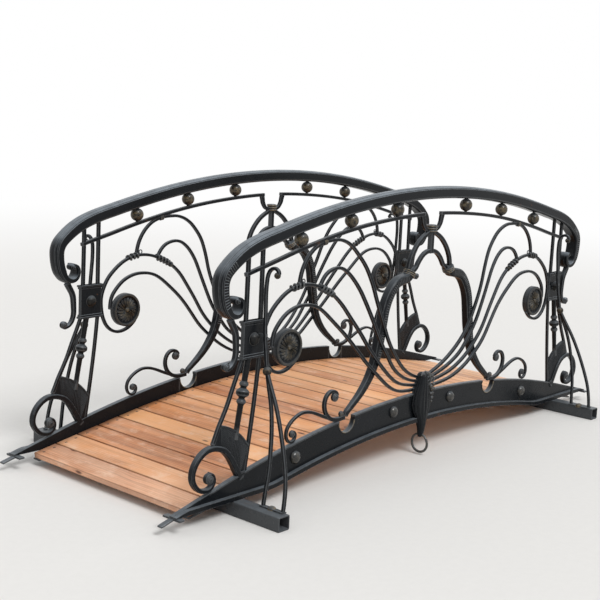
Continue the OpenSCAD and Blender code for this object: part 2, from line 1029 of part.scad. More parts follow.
// Closed solid through rings of points, each with as many points
module loft(rings) {
    n = len(rings[0]);
    m = len(rings);
    points = [for (r = rings) each r];
    polyhedron(points, concat(
        [[for (i = [0:n - 1]) i]],
        [
            for (k = [0:m - 2], i = [0:n - 1])
                let (a = k * n + i, b = k * n + (i + 1) % n)
                each [[a, a + n, b], [b, a + n, b + n]]
        ],
        [[for (i = [n - 1:-1:0]) (m - 1) * n + i]]
    ));
}

module sheaf_body() {
    loft([for (s = sheaf_sections) sheaf_ring(s)]);
}

module sheaf() {
    color(iron)
        difference() {
            sheaf_body();
            translate([-reach, stringer_low - sheaf_gap, stringer_t / 2 + bead_out - reach])
                cube([2 * reach, stringer_top - stringer_low + sheaf_gap, reach]);
            translate([0, 0, -stringer_t / 2])
                linear_extrude(stringer_t + lip_out) polygon(band(lip_h));
            translate([sheaf_x, ring_z + ring_r - ring_play / 2, 0])
                cylinder(d = ring_bar + ring_play, h = reach, center = true, $fn = 32);
        }
}

// Ring that hangs from the sheaf, square to the railing
ring_r = 43;
ring_bar = 12;
ring_play = 4;
ring_z = stringer_top - 242;
ring_y = 22;

module ring() {
    color(iron)
        translate([sheaf_x, ring_z, ring_y]) rotate([0, 90, 0])
            rotate_extrude($fn = 72) translate([ring_r, 0]) circle(d = ring_bar, $fn = 32);
}

deck_boards();
mirror([1, 0, 0]) sleeper();  // left_sleeper
sleeper();  // right_sleeper
front() stringer();  // front_stringer
back() stringer();  // back_stringer
front() handrail();  // front_handrail
back() handrail();  // back_handrail
front() lower_rail();  // front_lower_rail
back() lower_rail();  // back_lower_rail
front() rail_balls();  // front_rail_balls
back() rail_balls();  // back_rail_balls
front() stems();  // front_stems
back() stems();  // back_stems
front() mirror([1, 0, 0]) fan(left_fan_end);  // front_left_fan
front() fan(right_fan_end);  // front_right_fan
back() mirror([1, 0, 0]) fan(left_fan_end);  // back_left_fan
back() fan(right_fan_end);  // back_right_fan
front() rosettes();  // front_rosettes
back() rosettes();  // back_rosettes
front() posts();  // front_posts
back() posts();  // back_posts
front() post_plates();  // front_post_plates
back() post_plates();  // back_post_plates
front() post_legs();  // front_post_legs
back() post_legs();  // back_post_legs
front() foot_scrolls();  // front_foot_scrolls
back() foot_scrolls();  // back_foot_scrolls
front() foot_leaves();  // front_foot_leaves
back() foot_leaves();  // back_foot_leaves
front() stringer_scrolls();  // front_stringer_scrolls
back() stringer_scrolls();  // back_stringer_scrolls
front() braces();  // front_braces
back() braces();  // back_braces
front() stringer_rivets();  // front_rivets
back() stringer_rivets();  // back_rivets
front() anchors();  // front_anchors
back() anchors();  // back_anchors
front() sheaf();  // front_sheaf
back() sheaf();  // back_sheaf
front() ring();  // front_ring
back() ring();  // back_ring
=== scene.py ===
"""Garden moon bridge: an arched timber deck between two forged scroll railings, dressed for display."""

import logging
import math
import random
from collections.abc import Callable, Iterable, Mapping, Sequence
from dataclasses import dataclass
from enum import Enum
from typing import ClassVar

import bmesh
import bpy
from mathutils import Euler, Matrix, Vector


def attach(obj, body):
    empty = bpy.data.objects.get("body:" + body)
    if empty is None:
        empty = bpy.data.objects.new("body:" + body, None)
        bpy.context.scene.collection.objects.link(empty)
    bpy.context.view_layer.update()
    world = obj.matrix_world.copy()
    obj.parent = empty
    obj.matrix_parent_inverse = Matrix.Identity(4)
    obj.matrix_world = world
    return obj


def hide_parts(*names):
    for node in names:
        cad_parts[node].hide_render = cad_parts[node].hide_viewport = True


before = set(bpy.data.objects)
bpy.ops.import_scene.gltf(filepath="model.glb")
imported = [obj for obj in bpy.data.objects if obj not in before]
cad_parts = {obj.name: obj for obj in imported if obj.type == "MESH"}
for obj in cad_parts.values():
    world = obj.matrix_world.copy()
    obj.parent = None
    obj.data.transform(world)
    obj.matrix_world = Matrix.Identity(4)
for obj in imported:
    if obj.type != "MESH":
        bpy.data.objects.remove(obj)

LOG = logging.getLogger("moon_bridge")
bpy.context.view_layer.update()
BODY = "root"

MM = 0.001
RAILING_Y = 500.0
SLEEPER_TOP = 60.0
SMOOTH_ANGLE = math.radians(38)
EDGE_FROM, EDGE_FULL = math.radians(14), math.radians(32)
LARGEST_BEND = math.radians(5)
STRAIGHT = 0.002
SHORTEST_EDGE = 0.01 * MM

Station = tuple[float, float, float]
Point = tuple[float, float, float]
Flat = tuple[float, float]
Stations = Sequence[Station]
Outline = Sequence[Flat]
Widths = Callable[[float, float], Flat]
Placing = Callable[[Point], Point]
Socket = bpy.types.NodeSocket
Sockets = Mapping[str, Socket]
Three = tuple[float, float, float]
Four = tuple[float, float, float, float]


def within(value: float, low: float = 0.0) -> float:
    """The value, held between a lower limit and 1."""
    return min(1.0, max(low, value))


def ease(share: float) -> float:
    """A share from 0 to 1 that starts and ends gently."""
    return share * share * (3 - 2 * share)


def blend(a: Sequence[float], b: Sequence[float], share: float) -> tuple[float, ...]:
    """Numbers between two rows of numbers, by a share from 0 to 1."""
    return tuple(p + (q - p) * share for p, q in zip(a, b))


def swing(start: float, end: float, steps: int) -> list[Flat]:
    """Cosine and sine at even steps from one angle to another, with both ends."""
    return [(math.cos(a), math.sin(a)) for a in (start + (end - start) * i / steps for i in range(steps + 1))]


def circle(steps: int) -> list[Flat]:
    """Cosine and sine at even steps once round."""
    return swing(0.0, 2 * math.pi, steps)[:-1]


def dome(radius: float, rise: float, steps: int = 8) -> list[Flat]:
    """Profile of a dome, from its foot to its pole."""
    return [(radius * c, rise * s) for c, s in swing(0.0, math.pi / 2, steps)]


class Side(Enum):
    """Railing on the camera's side of the bridge, or the one behind it."""

    FRONT = "front"
    BACK = "back"

    @property
    def out(self) -> float:
        """Direction along y in which this railing's outer face looks."""
        return -1.0 if self is Side.FRONT else 1.0


class Half(Enum):
    """Left or right half of a railing."""

    LEFT = "left"
    RIGHT = "right"


class Slot(Enum):
    """Material slots of the record."""

    IRON = "iron"
    TIMBER = "timber"


# Middle lines of bars


@dataclass(frozen=True)
class Arc:
    """Arc of a bar's middle line, or a straight stretch where turn is 0 and size is its length."""

    x: float
    z: float
    heading: float
    turn: float
    size: float

    @property
    def length(self) -> float:
        """Length along the arc."""
        return self.size if self.turn == 0 else self.size * abs(self.turn)

    def at(self, share: float) -> Station:
        """Place at a share of the arc.

        Args:
            share: 0 at the start and 1 at the end.

        Returns:
            x, z and heading in radians.
        """
        if self.turn == 0:
            reach = self.size * share
            return (self.x + reach * math.cos(self.heading), self.z + reach * math.sin(self.heading), self.heading)
        radius = math.copysign(self.size, self.turn)
        heading = self.heading + self.turn * share
        x = self.x - radius * math.sin(self.heading) + radius * math.sin(heading)
        z = self.z + radius * math.cos(self.heading) - radius * math.cos(heading)
        return (x, z, heading)


def arc_to(start: Station, end: Flat) -> Arc:
    """Arc that leaves a place along its heading and ends at a point.

    Args:
        start: x, z and heading in radians.
        end: x and z of the end.

    Returns:
        The arc.
    """
    dx, dz = end[0] - start[0], end[1] - start[1]
    ahead, aside = math.cos(start[2]), math.sin(start[2])
    turn = 2 * math.atan2(ahead * dz - aside * dx, ahead * dx + aside * dz)
    chord = math.hypot(dx, dz)
    if abs(turn) < STRAIGHT:
        return Arc(*start, 0.0, chord)
    return Arc(*start, turn, chord / (2 * math.sin(abs(turn) / 2)))


def biarc(start: Station, end: Station) -> list[Arc]:
    """Two arcs that join two stations without a kink.

    Args:
        start: x, z and heading in radians.
        end: x, z and heading in radians.

    Returns:
        The two arcs.
    """
    v = Vector((end[0] - start[0], end[1] - start[1]))
    t0 = Vector((math.cos(start[2]), math.sin(start[2])))
    t1 = Vector((math.cos(end[2]), math.sin(end[2])))
    gap = 2 * (1 - t0.dot(t1))
    b = v.dot(t0 + t1)
    reach = v.dot(v) / (2 * b) if gap < 0.0001 else (math.sqrt(b * b + gap * v.dot(v)) - b) / gap
    middle = (Vector(start[:2]) + Vector(end[:2]) + reach * (t0 - t1)) / 2
    first = arc_to(start, tuple(middle))
    return [first, arc_to((middle.x, middle.y, start[2] + first.turn), end[:2])]


class MiddleLine:
    """Middle line of a bar, through stations of x, z and heading in degrees."""

    def __init__(self, stations: Stations) -> None:
        """Joins the stations by pairs of tangent arcs.

        Args:
            stations: x, z and heading in degrees, in order.
        """
        places = [(x, z, math.radians(h)) for x, z, h in stations]
        self.arcs = [arc for a, b in zip(places, places[1:]) for arc in biarc(a, b)]
        self.length = sum(arc.length for arc in self.arcs)

    def at(self, distance: float) -> Station:
        """Place at a distance from the start.

        Args:
            distance: Millimetres along the line.

        Returns:
            x, z and heading in radians.
        """
        for arc in self.arcs:
            if distance <= arc.length:
                return arc.at(distance / arc.length)
            distance -= arc.length
        return self.arcs[-1].at(1.0)

    def distances(self, step: float) -> list[float]:
        """Distances that follow the line's bends closely enough.

        Args:
            step: Longest stretch between two places.

        Returns:
            Distances from 0 to the line's length.
        """
        found, before = [0.0], 0.0
        for arc in self.arcs:
            n = max(1, math.ceil(max(arc.length / step, abs(arc.turn) / LARGEST_BEND)))
            found += [before + arc.length * (i + 1) / n for i in range(n)]
            before += arc.length
        return found


def mirrored(stations: Stations) -> list[Station]:
    """The same stations on the other half, in the opposite order.

    Args:
        stations: Stations of the right half, from the middle outwards.

    Returns:
        Stations of the left half, from its end to the middle.
    """
    return [(-x, z, -h) for x, z, h in reversed(stations)]


def beside(place: Station, n: float, d: float = 0.0) -> Point:
    """Point at a distance to the left of a place's heading, and out of the plane."""
    x, z, h = place
    return (x - math.sin(h) * n, d, z + math.cos(h) * n)


# Sections of bars: points of (towards the side of the heading, out of the plane)


def box_section(height: float, depth: float, radius: float, steps: int = 2, margin: float = 1.5) -> list[Flat]:
    """Rounded rectangle, with points on its flats that keep edge marks near the corners: wear and painted edge
    highlights on iron, grime and painted gap shade on boards.

    Args:
        height: Size in the plane of the railing.
        depth: Size across that plane.
        radius: Radius of its corners.
        steps: Steps in each corner.
        margin: How far from a corner the points on the flats lie.

    Returns:
        Points around the section.
    """
    found = []
    reach = min(margin, 0.6 * (min(height, depth) / 2 - radius))
    for corner in range(4):
        sn, sd = ((1, 1), (-1, 1), (-1, -1), (1, -1))[corner]
        for i in range(steps + 1):
            angle = math.pi / 2 * (corner + i / steps)
            n = sn * (height / 2 - radius) + radius * math.cos(angle)
            d = sd * (depth / 2 - radius) + radius * math.sin(angle)
            along, across = math.sin(angle) * reach, math.cos(angle) * reach
            if i == 0:
                found.append((n + along, d - across))
            found.append((n, d))
            if i == steps:
                found.append((n - along, d + across))
    return found


def round_section(diameter: float, steps: int) -> list[Flat]:
    """Circle, with that many points around it."""
    return [(diameter / 2 * c, diameter / 2 * s) for c, s in circle(steps)]


def both_sides(half: Outline) -> list[Flat]:
    """Whole section from the half that lies out of the plane."""
    return [*half, *((n, -d) for n, d in reversed(half[1:-1]))]


def moulded_section(height: float, depth: float, bevel: float) -> list[Flat]:
    """Moulded bar with flat faces and rounded shoulders.

    Args:
        height: Size in the plane of the railing.
        depth: Size across that plane.
        bevel: Size of a shoulder.

    Returns:
        Points around the section.
    """
    h, d = height / 2, depth / 2
    shoulder = ((0.04, 1.2), (0.5, 0.62), (1.1, 0.12), (1.4, 0.0))
    half = [(h, 0.0), *((h, d - e * bevel) for e in (2.0, 1.86, 1.68, 1.54))]
    half += [(h - n * bevel, d - e * bevel) for n, e in shoulder]
    half += [(h - 1.7 * bevel, d), (1.7 * bevel - h, d)]
    half += [(n * bevel - h, d - e * bevel) for n, e in reversed(shoulder)]
    return both_sides(half + [(-h, d - 1.5 * bevel), (-h, 0.0)])


def rail_section(height: float, depth: float) -> list[Flat]:
    """Handrail: a rounded crown with a quirk below it, straight sides and a softened underside.

    Args:
        height: Size in the plane of the railing.
        depth: Size across that plane.

    Returns:
        Points around the section.
    """
    h, d = height / 2, depth / 2
    return both_sides([
        (h, 0.0), (h - 0.4, d * 0.25), (h - 1.1, d * 0.40), (h - 2.6, d * 0.43), (h - 2.7, d * 0.47),
        (h - 1.9, d * 0.51), (h - 3.2, d * 0.63), (h - 5.4, d * 0.78), (h - 7.6, d * 0.865), (h - 10.0, d * 0.865),
        (h - 10.6, d * 0.92), (h - 11.4, d * 0.98), (h - 13.0, d), (h - 16.0, d), (12.0 - h, d), (9.0 - h, d),
        (5.5 - h, d * 0.93), (2.5 - h, d * 0.8), (0.4 - h, d * 0.66), (-h, d * 0.5), (-h, 0.0),
    ])


def tapering(start: Flat, end: Flat) -> Widths:
    """Widths that change evenly along a bar.

    Args:
        start: Scale of the section at the start, in the plane and across it.
        end: The same at the end.

    Returns:
        Function of distance and length that gives the two scales.
    """
    return lambda distance, length: blend(start, end, distance / length)


EVEN: Widths = tapering((1.0, 1.0), (1.0, 1.0))


def rectangle(x0: float, z0: float, x1: float, z1: float) -> list[Flat]:
    """Outline of a rectangle between two corners."""
    return [(x0, z0), (x1, z0), (x1, z1), (x0, z1)]


def tilted(outline: Outline, x: float, z: float, angle: float) -> list[Flat]:
    """An outline turned by an angle and moved to a place."""
    c, s = math.cos(angle), math.sin(angle)
    return [(x + a * c - b * s, z + a * s + b * c) for a, b in outline]


class Shape:
    """Closed skins in the plane of a railing: x along it, d out of it and z up, in millimetres."""

    CHAMFER: ClassVar[float] = 1.6
    END_SCALE: ClassVar[float] = 0.8
    POLE: ClassVar[float] = 0.02
    RIB_PITCH: ClassVar[float] = 11.0
    RIB_WIDTH: ClassVar[float] = 4.8

    def __init__(self) -> None:
        """Starts with no skin."""
        self.points: list[Point] = []
        self.faces: list[tuple[int, ...]] = []
        self.gilt: list[float] = []

    def add(self, points: Iterable[Point], faces: Iterable[Sequence[int]], gilt: float = 0.0) -> None:
        """Adds a skin.

        Args:
            points: Its corners.
            faces: Its faces, as numbers of its own corners.
            gilt: How much of the brass patina it carries, from 0 to 1.
        """
        base = len(self.points)
        self.points += points
        self.gilt += [gilt] * (len(self.points) - base)
        self.faces += [tuple(base + i for i in face) for face in faces]

    def absorb(self, other: "Shape", place: Placing = lambda p: p) -> "Shape":
        """Adds another shape, moved corner by corner.

        Args:
            other: The shape to add.
            place: Where each of its corners goes.

        Returns:
            This shape.
        """
        gilt = self.gilt + other.gilt
        self.add([place(p) for p in other.points], other.faces)
        self.gilt = gilt
        return self

    def with_mirror(self) -> "Shape":
        """Adds its mirror image on the other half of the railing."""
        copy = Shape().absorb(self)
        return self.absorb(copy, lambda p: (-p[0], p[1], p[2]))

    def tint(self, shade: Callable[[Point], float]) -> None:
        """Sets the share of brass patina corner by corner.

        Args:
            shade: Share from 0 to 1 at a corner.
        """
        self.gilt = [shade(p) for p in self.points]

    def skin(self, rings: Sequence[Sequence[Point]], gilt: float = 0.0, loop: bool = False) -> None:
        """Adds a skin through rings of as many corners each.

        Args:
            rings: The rings, in order.
            gilt: Share of brass patina.
            loop: Whether the last ring joins the first, instead of a cap on both.
        """
        n, m = len(rings[0]), len(rings)
        faces: list[Sequence[int]] = [
            (a * n + i, a * n + (i + 1) % n, b * n + (i + 1) % n, b * n + i)
            for a, b in ((k, (k + 1) % m) for k in range(m if loop else m - 1)) for i in range(n)
        ]
        if not loop:
            faces += [range(n - 1, -1, -1), range((m - 1) * n, m * n)]
        self.add([p for ring in rings for p in ring], faces, gilt)

    def bar(self, line: MiddleLine, section: Outline, widths: Widths = EVEN, step: float = 12.0,
            start: float = 0.0) -> None:
        """Adds a bar that follows a middle line, with chamfered ends.

        Args:
            line: Its middle line.
            section: Points around its section.
            widths: Scales of the section along it.
            step: Longest stretch between two rings.
            start: Distance along the line at which the bar begins.
        """
        inner = [s for s in line.distances(step) if start + self.CHAMFER < s < line.length - self.CHAMFER]
        stops = [(start, self.END_SCALE), (start + self.CHAMFER, 1.0)] + [(s, 1.0) for s in inner]
        stops += [(line.length - self.CHAMFER, 1.0), (line.length, self.END_SCALE)]
        rings = []
        for distance, shrink in stops:
            wn, wd = widths(distance, line.length)
            rings.append([beside(line.at(distance), n * wn * shrink, d * wd * shrink) for n, d in section])
        self.skin(rings)

    def turned(self, profile: Outline, centre: Point, axis: Point, gilt: float = 0.0, around: int = 24) -> None:
        """Adds a turned piece.

        Args:
            profile: Radius and distance along the axis, in order; a radius of 0 at an end makes a pole.
            centre: Where distance 0 lies.
            axis: Direction of the axis.
            gilt: Share of brass patina.
            around: Corners around it.
        """
        way = Vector(axis).normalized()
        u = way.orthogonal().normalized()
        v = way.cross(u)
        self.skin([[tuple(Vector(centre) + way * t + (u * c + v * s) * max(radius, self.POLE))
                    for c, s in circle(around)] for radius, t in profile], gilt)

    def ball(self, x: float, z: float, radius: float, d: float = 0.0, gilt: float = 0.0, around: int = 32) -> None:
        """Adds a ball.

        Args:
            x: Its middle along the railing.
            z: Its middle's height.
            radius: Its radius.
            d: Its middle out of the railing's plane.
            gilt: Share of brass patina.
            around: Corners around it.
        """
        profile = [(radius * s, -radius * c) for c, s in swing(0.0, math.pi, around // 2)]
        self.turned(profile, (x, d, z), (0, 1, 0), gilt, around)

    def slab(self, outline: Outline, low: float, high: float, bevel: float = 1.5, gilt: float = 0.0,
             margin: float = 0.0) -> None:
        """Adds a flat plate with chamfered edges.

        Args:
            outline: Its outline in the plane, turning left.
            low: Where it begins out of the plane.
            high: Where it ends.
            bevel: Size of the chamfer.
            gilt: Share of brass patina.
            margin: How far wear and painted edge highlights may spread over its faces from the chamfer, or 0 for all
                over.
        """
        small = inset(outline, bevel)
        levels = [(small, low), (outline, low + bevel), (outline, high - bevel), (small, high)]
        if margin:
            inner = inset(outline, bevel + margin)
            levels = [(inner, low), *levels, (inner, high)]
        rings = [[(x, d, z) for x, z in points] for points, d in levels]
        self.skin(rings, gilt)

    def collar(self, place: Station, diameter: float, length: float, gilt: float) -> None:
        """Adds a round collar with three ridges.

        Args:
            place: x and z of its middle and the heading of its axis in degrees.
            diameter: Diameter over the ridges.
            length: Its length.
            gilt: Share of brass patina on the ridges.
        """
        r, low = diameter / 2, diameter / 2 - 4
        profile = [(low - 3, -length * 0.5), (low, -length * 0.48)]
        for k in (-1, 0, 1):
            middle, w = k * length * 0.34, length * 0.13
            profile += [(low, middle - w * 1.05), (r - 1.2, middle - w * 0.7), (r, middle - w * 0.2),
                        (r, middle + w * 0.2), (r - 1.2, middle + w * 0.7), (low, middle + w * 1.05)]
        profile += [(low, length * 0.48), (low - 3, length * 0.5)]
        x, z, degrees = place
        c, s = math.cos(math.radians(degrees)), math.sin(math.radians(degrees))
        ring = Shape()
        ring.turned(profile, (x, 0, z), (c, 0, s), 0.0, 32)
        ring.tint(lambda p: gilt * within(1 + math.hypot(p[1], (p[2] - z) * c - (p[0] - x) * s) - r, 0.1))
        self.absorb(ring)

    def scroll_eye(self, line: MiddleLine, turn: int, diameter: float, depth: float, gilt: float = 0.03) -> None:
        """Adds the rolled end of a scroll, with its turns showing as rings on both faces.

        Args:
            line: Middle line of the scroll.
            turn: 1 where the scroll turns left, -1 where it turns right.
            diameter: Diameter of the eye.
            depth: Its size across the plane.
            gilt: Share of brass patina.
        """
        r, half = diameter / 2, depth / 2
        face = [(0.0, 1.0), (0.2, 0.97), (0.3, 0.9), (0.34, 0.78), (0.4, 0.82), (0.58, 0.8), (0.66, 0.72), (0.7, 0.6),
                (0.76, 0.64), (0.9, 0.58), (0.98, 0.44), (1.0, 0.25)]
        profile = [(r * a, -half * b) for a, b in face] + [(r * a, half * b) for a, b in reversed(face)]
        self.turned(profile, beside(line.at(line.length), turn * (r - 4)), (0, 1, 0), gilt, 28)

    def ribs(self, line: MiddleLine, start: float, end: float, height: float, depth: float) -> None:
        """Adds short cross ribs on the two faces of a moulded bar.

        Args:
            line: Middle line of the bar.
            start: Distance of the first rib.
            end: Distance of the last.
            height: Length of a rib across the bar.
            depth: Size over the ribs of both faces.
        """
        rib = rectangle(-self.RIB_WIDTH / 2, -height / 2, self.RIB_WIDTH / 2, height / 2)
        for i in range(int((end - start) / self.RIB_PITCH) + 1):
            self.slab(tilted(rib, *line.at(start + i * self.RIB_PITCH)), -depth / 2, depth / 2, 1.3, 0.03)


def inset(outline: Outline, by: float) -> list[Flat]:
    """Moves an outline inwards.

    Args:
        outline: Its points, turning left.
        by: How far.

    Returns:
        As many points.
    """
    found = []
    for i, (x, z) in enumerate(outline):
        ax, az = outline[i - 1]
        bx, bz = outline[(i + 1) % len(outline)]
        e0, e1 = Vector((x - ax, z - az)).normalized(), Vector((bx - x, bz - z)).normalized()
        n0, n1 = Vector((-e0.y, e0.x)), Vector((-e1.y, e1.x))
        both = n0 + n1
        reach = by / max(0.45, both.length_squared / 2) if both.length > 0.01 else 0.0
        found.append((x + both.x * reach, z + both.y * reach))
    return found


# Shader groups


class Tree:
    """Short hand for a node tree."""

    def __init__(self, tree: bpy.types.NodeTree) -> None:
        """Wraps a tree.

        Args:
            tree: The tree to write to.
        """
        self.tree = tree

    def node(self, kind: str, links: dict | None = None, **settings: object) -> bpy.types.Node:
        """Adds a node.

        Args:
            kind: Its type.
            links: Values or output sockets, by the name or number of the input.
            **settings: Its properties.

        Returns:
            The node.
        """
        made = self.tree.nodes.new(kind)
        for key, value in settings.items():
            setattr(made, key, value)
        for key, value in (links or {}).items():
            if isinstance(value, Socket):
                self.tree.links.new(value, made.inputs[key])
            else:
                made.inputs[key].default_value = value
        return made

    def math(self, operation: str, a: object, b: object = 0.0, clamp: bool = False) -> Socket:
        """Adds a Math node and returns its output.

        Args:
            operation: Its operation.
            a: First value or socket.
            b: Second value or socket.
            clamp: Whether the result stays between 0 and 1.

        Returns:
            The output socket.
        """
        return self.node("ShaderNodeMath", {0: a, 1: b}, operation=operation, use_clamp=clamp).outputs[0]

    def fit(self, value: object, low: float, high: float, to_low: float = 0.0,
            to_high: float = 1.0) -> Socket:
        """Maps a range smoothly onto another.

        Args:
            value: Socket to map.
            low: Start of its range.
            high: End of its range.
            to_low: What the start becomes.
            to_high: What the end becomes.

        Returns:
            The output socket.
        """
        return self.node("ShaderNodeMapRange", {0: value, 1: low, 2: high, 3: to_low, 4: to_high},
                         interpolation_type="SMOOTHSTEP").outputs[0]

    def plus(self, a: object, b: object, clamp: bool = False) -> Socket:
        """Adds two values."""
        return self.math("ADD", a, b, clamp)

    def times(self, a: object, b: object, clamp: bool = False) -> Socket:
        """Multiplies two values."""
        return self.math("MULTIPLY", a, b, clamp)

    def noise(self, vector: object, scale: object, detail: float = 4.0, roughness: float = 0.55,
              distortion: float = 0.0) -> Socket:
        """Adds a noise texture and returns its value."""
        return self.node("ShaderNodeTexNoise", {"Vector": vector, "Scale": scale, "Detail": detail,
                                                "Roughness": roughness, "Distortion": distortion}).outputs[0]

    def stretch(self, vector: object, scale: Point) -> Socket:
        """Scales a vector by its axes."""
        return self.node("ShaderNodeVectorMath", {0: vector, 1: scale}, operation="MULTIPLY").outputs[0]

    def shift(self, vector: object, x: object, y: object = 0.0) -> Socket:
        """Moves a vector along its first two axes."""
        by = self.node("ShaderNodeCombineXYZ", {0: x, 1: y}).outputs[0]
        return self.node("ShaderNodeVectorMath", {0: vector, 1: by}).outputs[0]

    def mix(self, factor: object, a: object, b: object) -> Socket:
        """Mixes two colours, where a factor of 0 gives the first and 1 the second."""
        a, b = (c if isinstance(c, Socket) else (*c, 1.0) for c in (a, b))
        return self.node("ShaderNodeMix", {"Factor": factor, 6: a, 7: b}, data_type="RGBA").outputs[2]

    def layers(self, colour: object, *layers: tuple[object, object]) -> object:
        """Mixes colours over a first one, each by its own share.

        Args:
            colour: The first colour.
            *layers: Shares and colours, in order.

        Returns:
            The output socket.
        """
        for share, layer in layers:
            colour = self.mix(share, colour, layer)
        return colour

    def group(self, group: bpy.types.NodeTree, **values: object) -> Sockets:
        """Places a node group with its values and returns its outputs."""
        return self.node("ShaderNodeGroup", values, node_tree=group).outputs

    def attribute(self, name: str) -> Socket:
        """Value of a mesh attribute."""
        return self.node("ShaderNodeAttribute", attribute_name=name).outputs["Fac"]

    def place(self) -> Socket:
        """Place on the object, in metres."""
        return self.node("ShaderNodeTexCoord").outputs["Object"]


def fresh_tree(owner: bpy.types.Material | bpy.types.World) -> Tree:
    """Gives a material or a world an empty node tree.

    Args:
        owner: The material or world.

    Returns:
        The tree.
    """
    owner.use_nodes = True
    owner.node_tree.nodes.clear()
    return Tree(owner.node_tree)


class Effects:
    """Node groups that several materials share, each built once."""

    def __init__(self) -> None:
        """Builds every group."""
        self.hammer = self.make("hammer_marks", {"Size": 90.0, "Depth": 1.0}, self.hammer_marks)
        self.wear = self.make("edge_wear", {"Amount": 0.5, "Size": 60.0}, self.edge_wear)
        self.dust = self.make("dust_on_top", {"Amount": 0.3}, self.dust_on_top)
        self.rust = self.make("rust_spots", {"Amount": 0.3, "Size": 30.0}, self.rust_spots)
        self.grain = self.make("timber_grain", {"Tone": 0.5}, self.timber_grain)

    @staticmethod
    def make(name: str, inputs: dict[str, float], fill: Callable[[Tree, Sockets], Sockets]) -> bpy.types.NodeTree:
        """Makes one group, with a vector as its first input.

        Args:
            name: Its name.
            inputs: Its other inputs with their first values.
            fill: Adds its nodes, and returns its outputs by name.

        Returns:
            The group.
        """
        group = bpy.data.node_groups.new(name, "ShaderNodeTree")
        group.interface.new_socket(name="Vector", in_out="INPUT", socket_type="NodeSocketVector")
        for key, value in inputs.items():
            group.interface.new_socket(name=key, in_out="INPUT", socket_type="NodeSocketFloat").default_value = value
        tree = Tree(group)
        results = fill(tree, tree.node("NodeGroupInput").outputs)
        for key in results:
            group.interface.new_socket(name=key, in_out="OUTPUT", socket_type="NodeSocketFloat")
        tree.node("NodeGroupOutput", results)
        return group

    @staticmethod
    def hammer_marks(t: Tree, given: Sockets) -> Sockets:
        """Shallow dents left by the hammer, with fine scale between them.

        Args:
            t: Tree of the group.
            given: Its inputs.

        Returns:
            Its outputs.
        """
        dents = t.node("ShaderNodeTexVoronoi", {"Vector": given["Vector"], "Scale": given["Size"]},
                       feature="SMOOTH_F1").outputs["Distance"]
        fine = t.noise(given["Vector"], 420.0, 3.0, 0.5)
        return {"Height": t.times(t.plus(dents, t.times(fine, 0.25)), given["Depth"])}

    @staticmethod
    def edge_wear(t: Tree, given: Sockets) -> Sockets:
        """Bare patches along convex edges, which also serve as painted highlights on those edges.

        Args:
            t: Tree of the group.
            given: Its inputs.

        Returns:
            Its outputs.
        """
        breakup = t.noise(given["Vector"], given["Size"], 6.0, 0.65)
        level = t.plus(t.times(t.attribute("edge"), 0.62), t.math("SUBTRACT", breakup, 0.62))
        return {"Mask": t.times(t.fit(level, 0.0, 0.3), given["Amount"], clamp=True)}

    @staticmethod
    def dust_on_top(t: Tree, given: Sockets) -> Sockets:
        """Pale film that lies on what looks upwards, a little cloudy: dust, and a painted sheen of the sky on top
        faces.

        Args:
            t: Tree of the group.
            given: Its inputs.

        Returns:
            Its outputs.
        """
        up = t.node("ShaderNodeSeparateXYZ", {0: t.node("ShaderNodeNewGeometry").outputs["Normal"]}).outputs["Z"]
        cloud = t.noise(given["Vector"], 14.0, 6.0, 0.6)
        mask = t.times(t.fit(up, 0.25, 0.95), t.fit(cloud, 0.3, 0.7, 0.6, 1.0))
        return {"Mask": t.times(mask, given["Amount"], clamp=True)}

    @staticmethod
    def rust_spots(t: Tree, given: Sockets) -> Sockets:
        """Brown bloom where the paint has opened.

        Args:
            t: Tree of the group.
            given: Its inputs.

        Returns:
            Its outputs.
        """
        fine = t.noise(given["Vector"], given["Size"], 8.0, 0.7)
        level = t.times(t.noise(given["Vector"], 5.0, 3.0), fine)
        limit = t.math("SUBTRACT", 0.42, t.times(given["Amount"], 0.2))
        mask = t.fit(t.math("SUBTRACT", level, limit), 0.0, 0.07)
        return {"Mask": mask, "Height": t.times(mask, fine)}

    @staticmethod
    def timber_grain(t: Tree, given: Sockets) -> Sockets:
        """Streaks along a board, knots, and the blotches that oil and feet leave.

        Args:
            t: Tree of the group.
            given: Its inputs.

        Returns:
            Its outputs.
        """
        own = t.shift(given["Vector"], t.times(given["Tone"], 37.0), t.times(given["Tone"], 91.0))
        cells = t.node("ShaderNodeTexVoronoi", {"Vector": t.stretch(own, (7.5, 2.6, 7.5)), "Scale": 1.0,
                                                "Randomness": 1.0}).outputs["Distance"]
        bent = t.shift(own, t.times(t.fit(cells, 0.0, 0.3, 1.0, 0.0), 0.012))
        broad = t.noise(t.stretch(bent, (26.0, 1.1, 26.0)), 1.0, 5.0, 0.55, 0.7)
        rings = t.node("ShaderNodeTexWave", {"Vector": t.stretch(bent, (1.0, 0.05, 1.0)), "Scale": 26.0,
                                             "Distortion": 7.0, "Detail": 3.0, "Detail Scale": 1.4},
                       bands_direction="X").outputs["Fac"]
        fibres = t.noise(t.stretch(own, (420.0, 9.0, 420.0)), 1.0, 3.0, 0.6)
        blotches = t.noise(t.stretch(own, (9.0, 4.0, 9.0)), 1.0, 6.0, 0.6)
        return {
            "Streaks": t.plus(t.plus(t.times(broad, 0.86), t.times(rings, 0.11)), t.times(fibres, 0.13)),
            "Knots": t.fit(cells, 0.035, 0.075, 1.0, 0.0),
            "Blotches": t.fit(blotches, 0.35, 0.72),
            "Height": t.plus(t.times(rings, 0.4), t.times(fibres, 0.6)),
        }


# Finishes


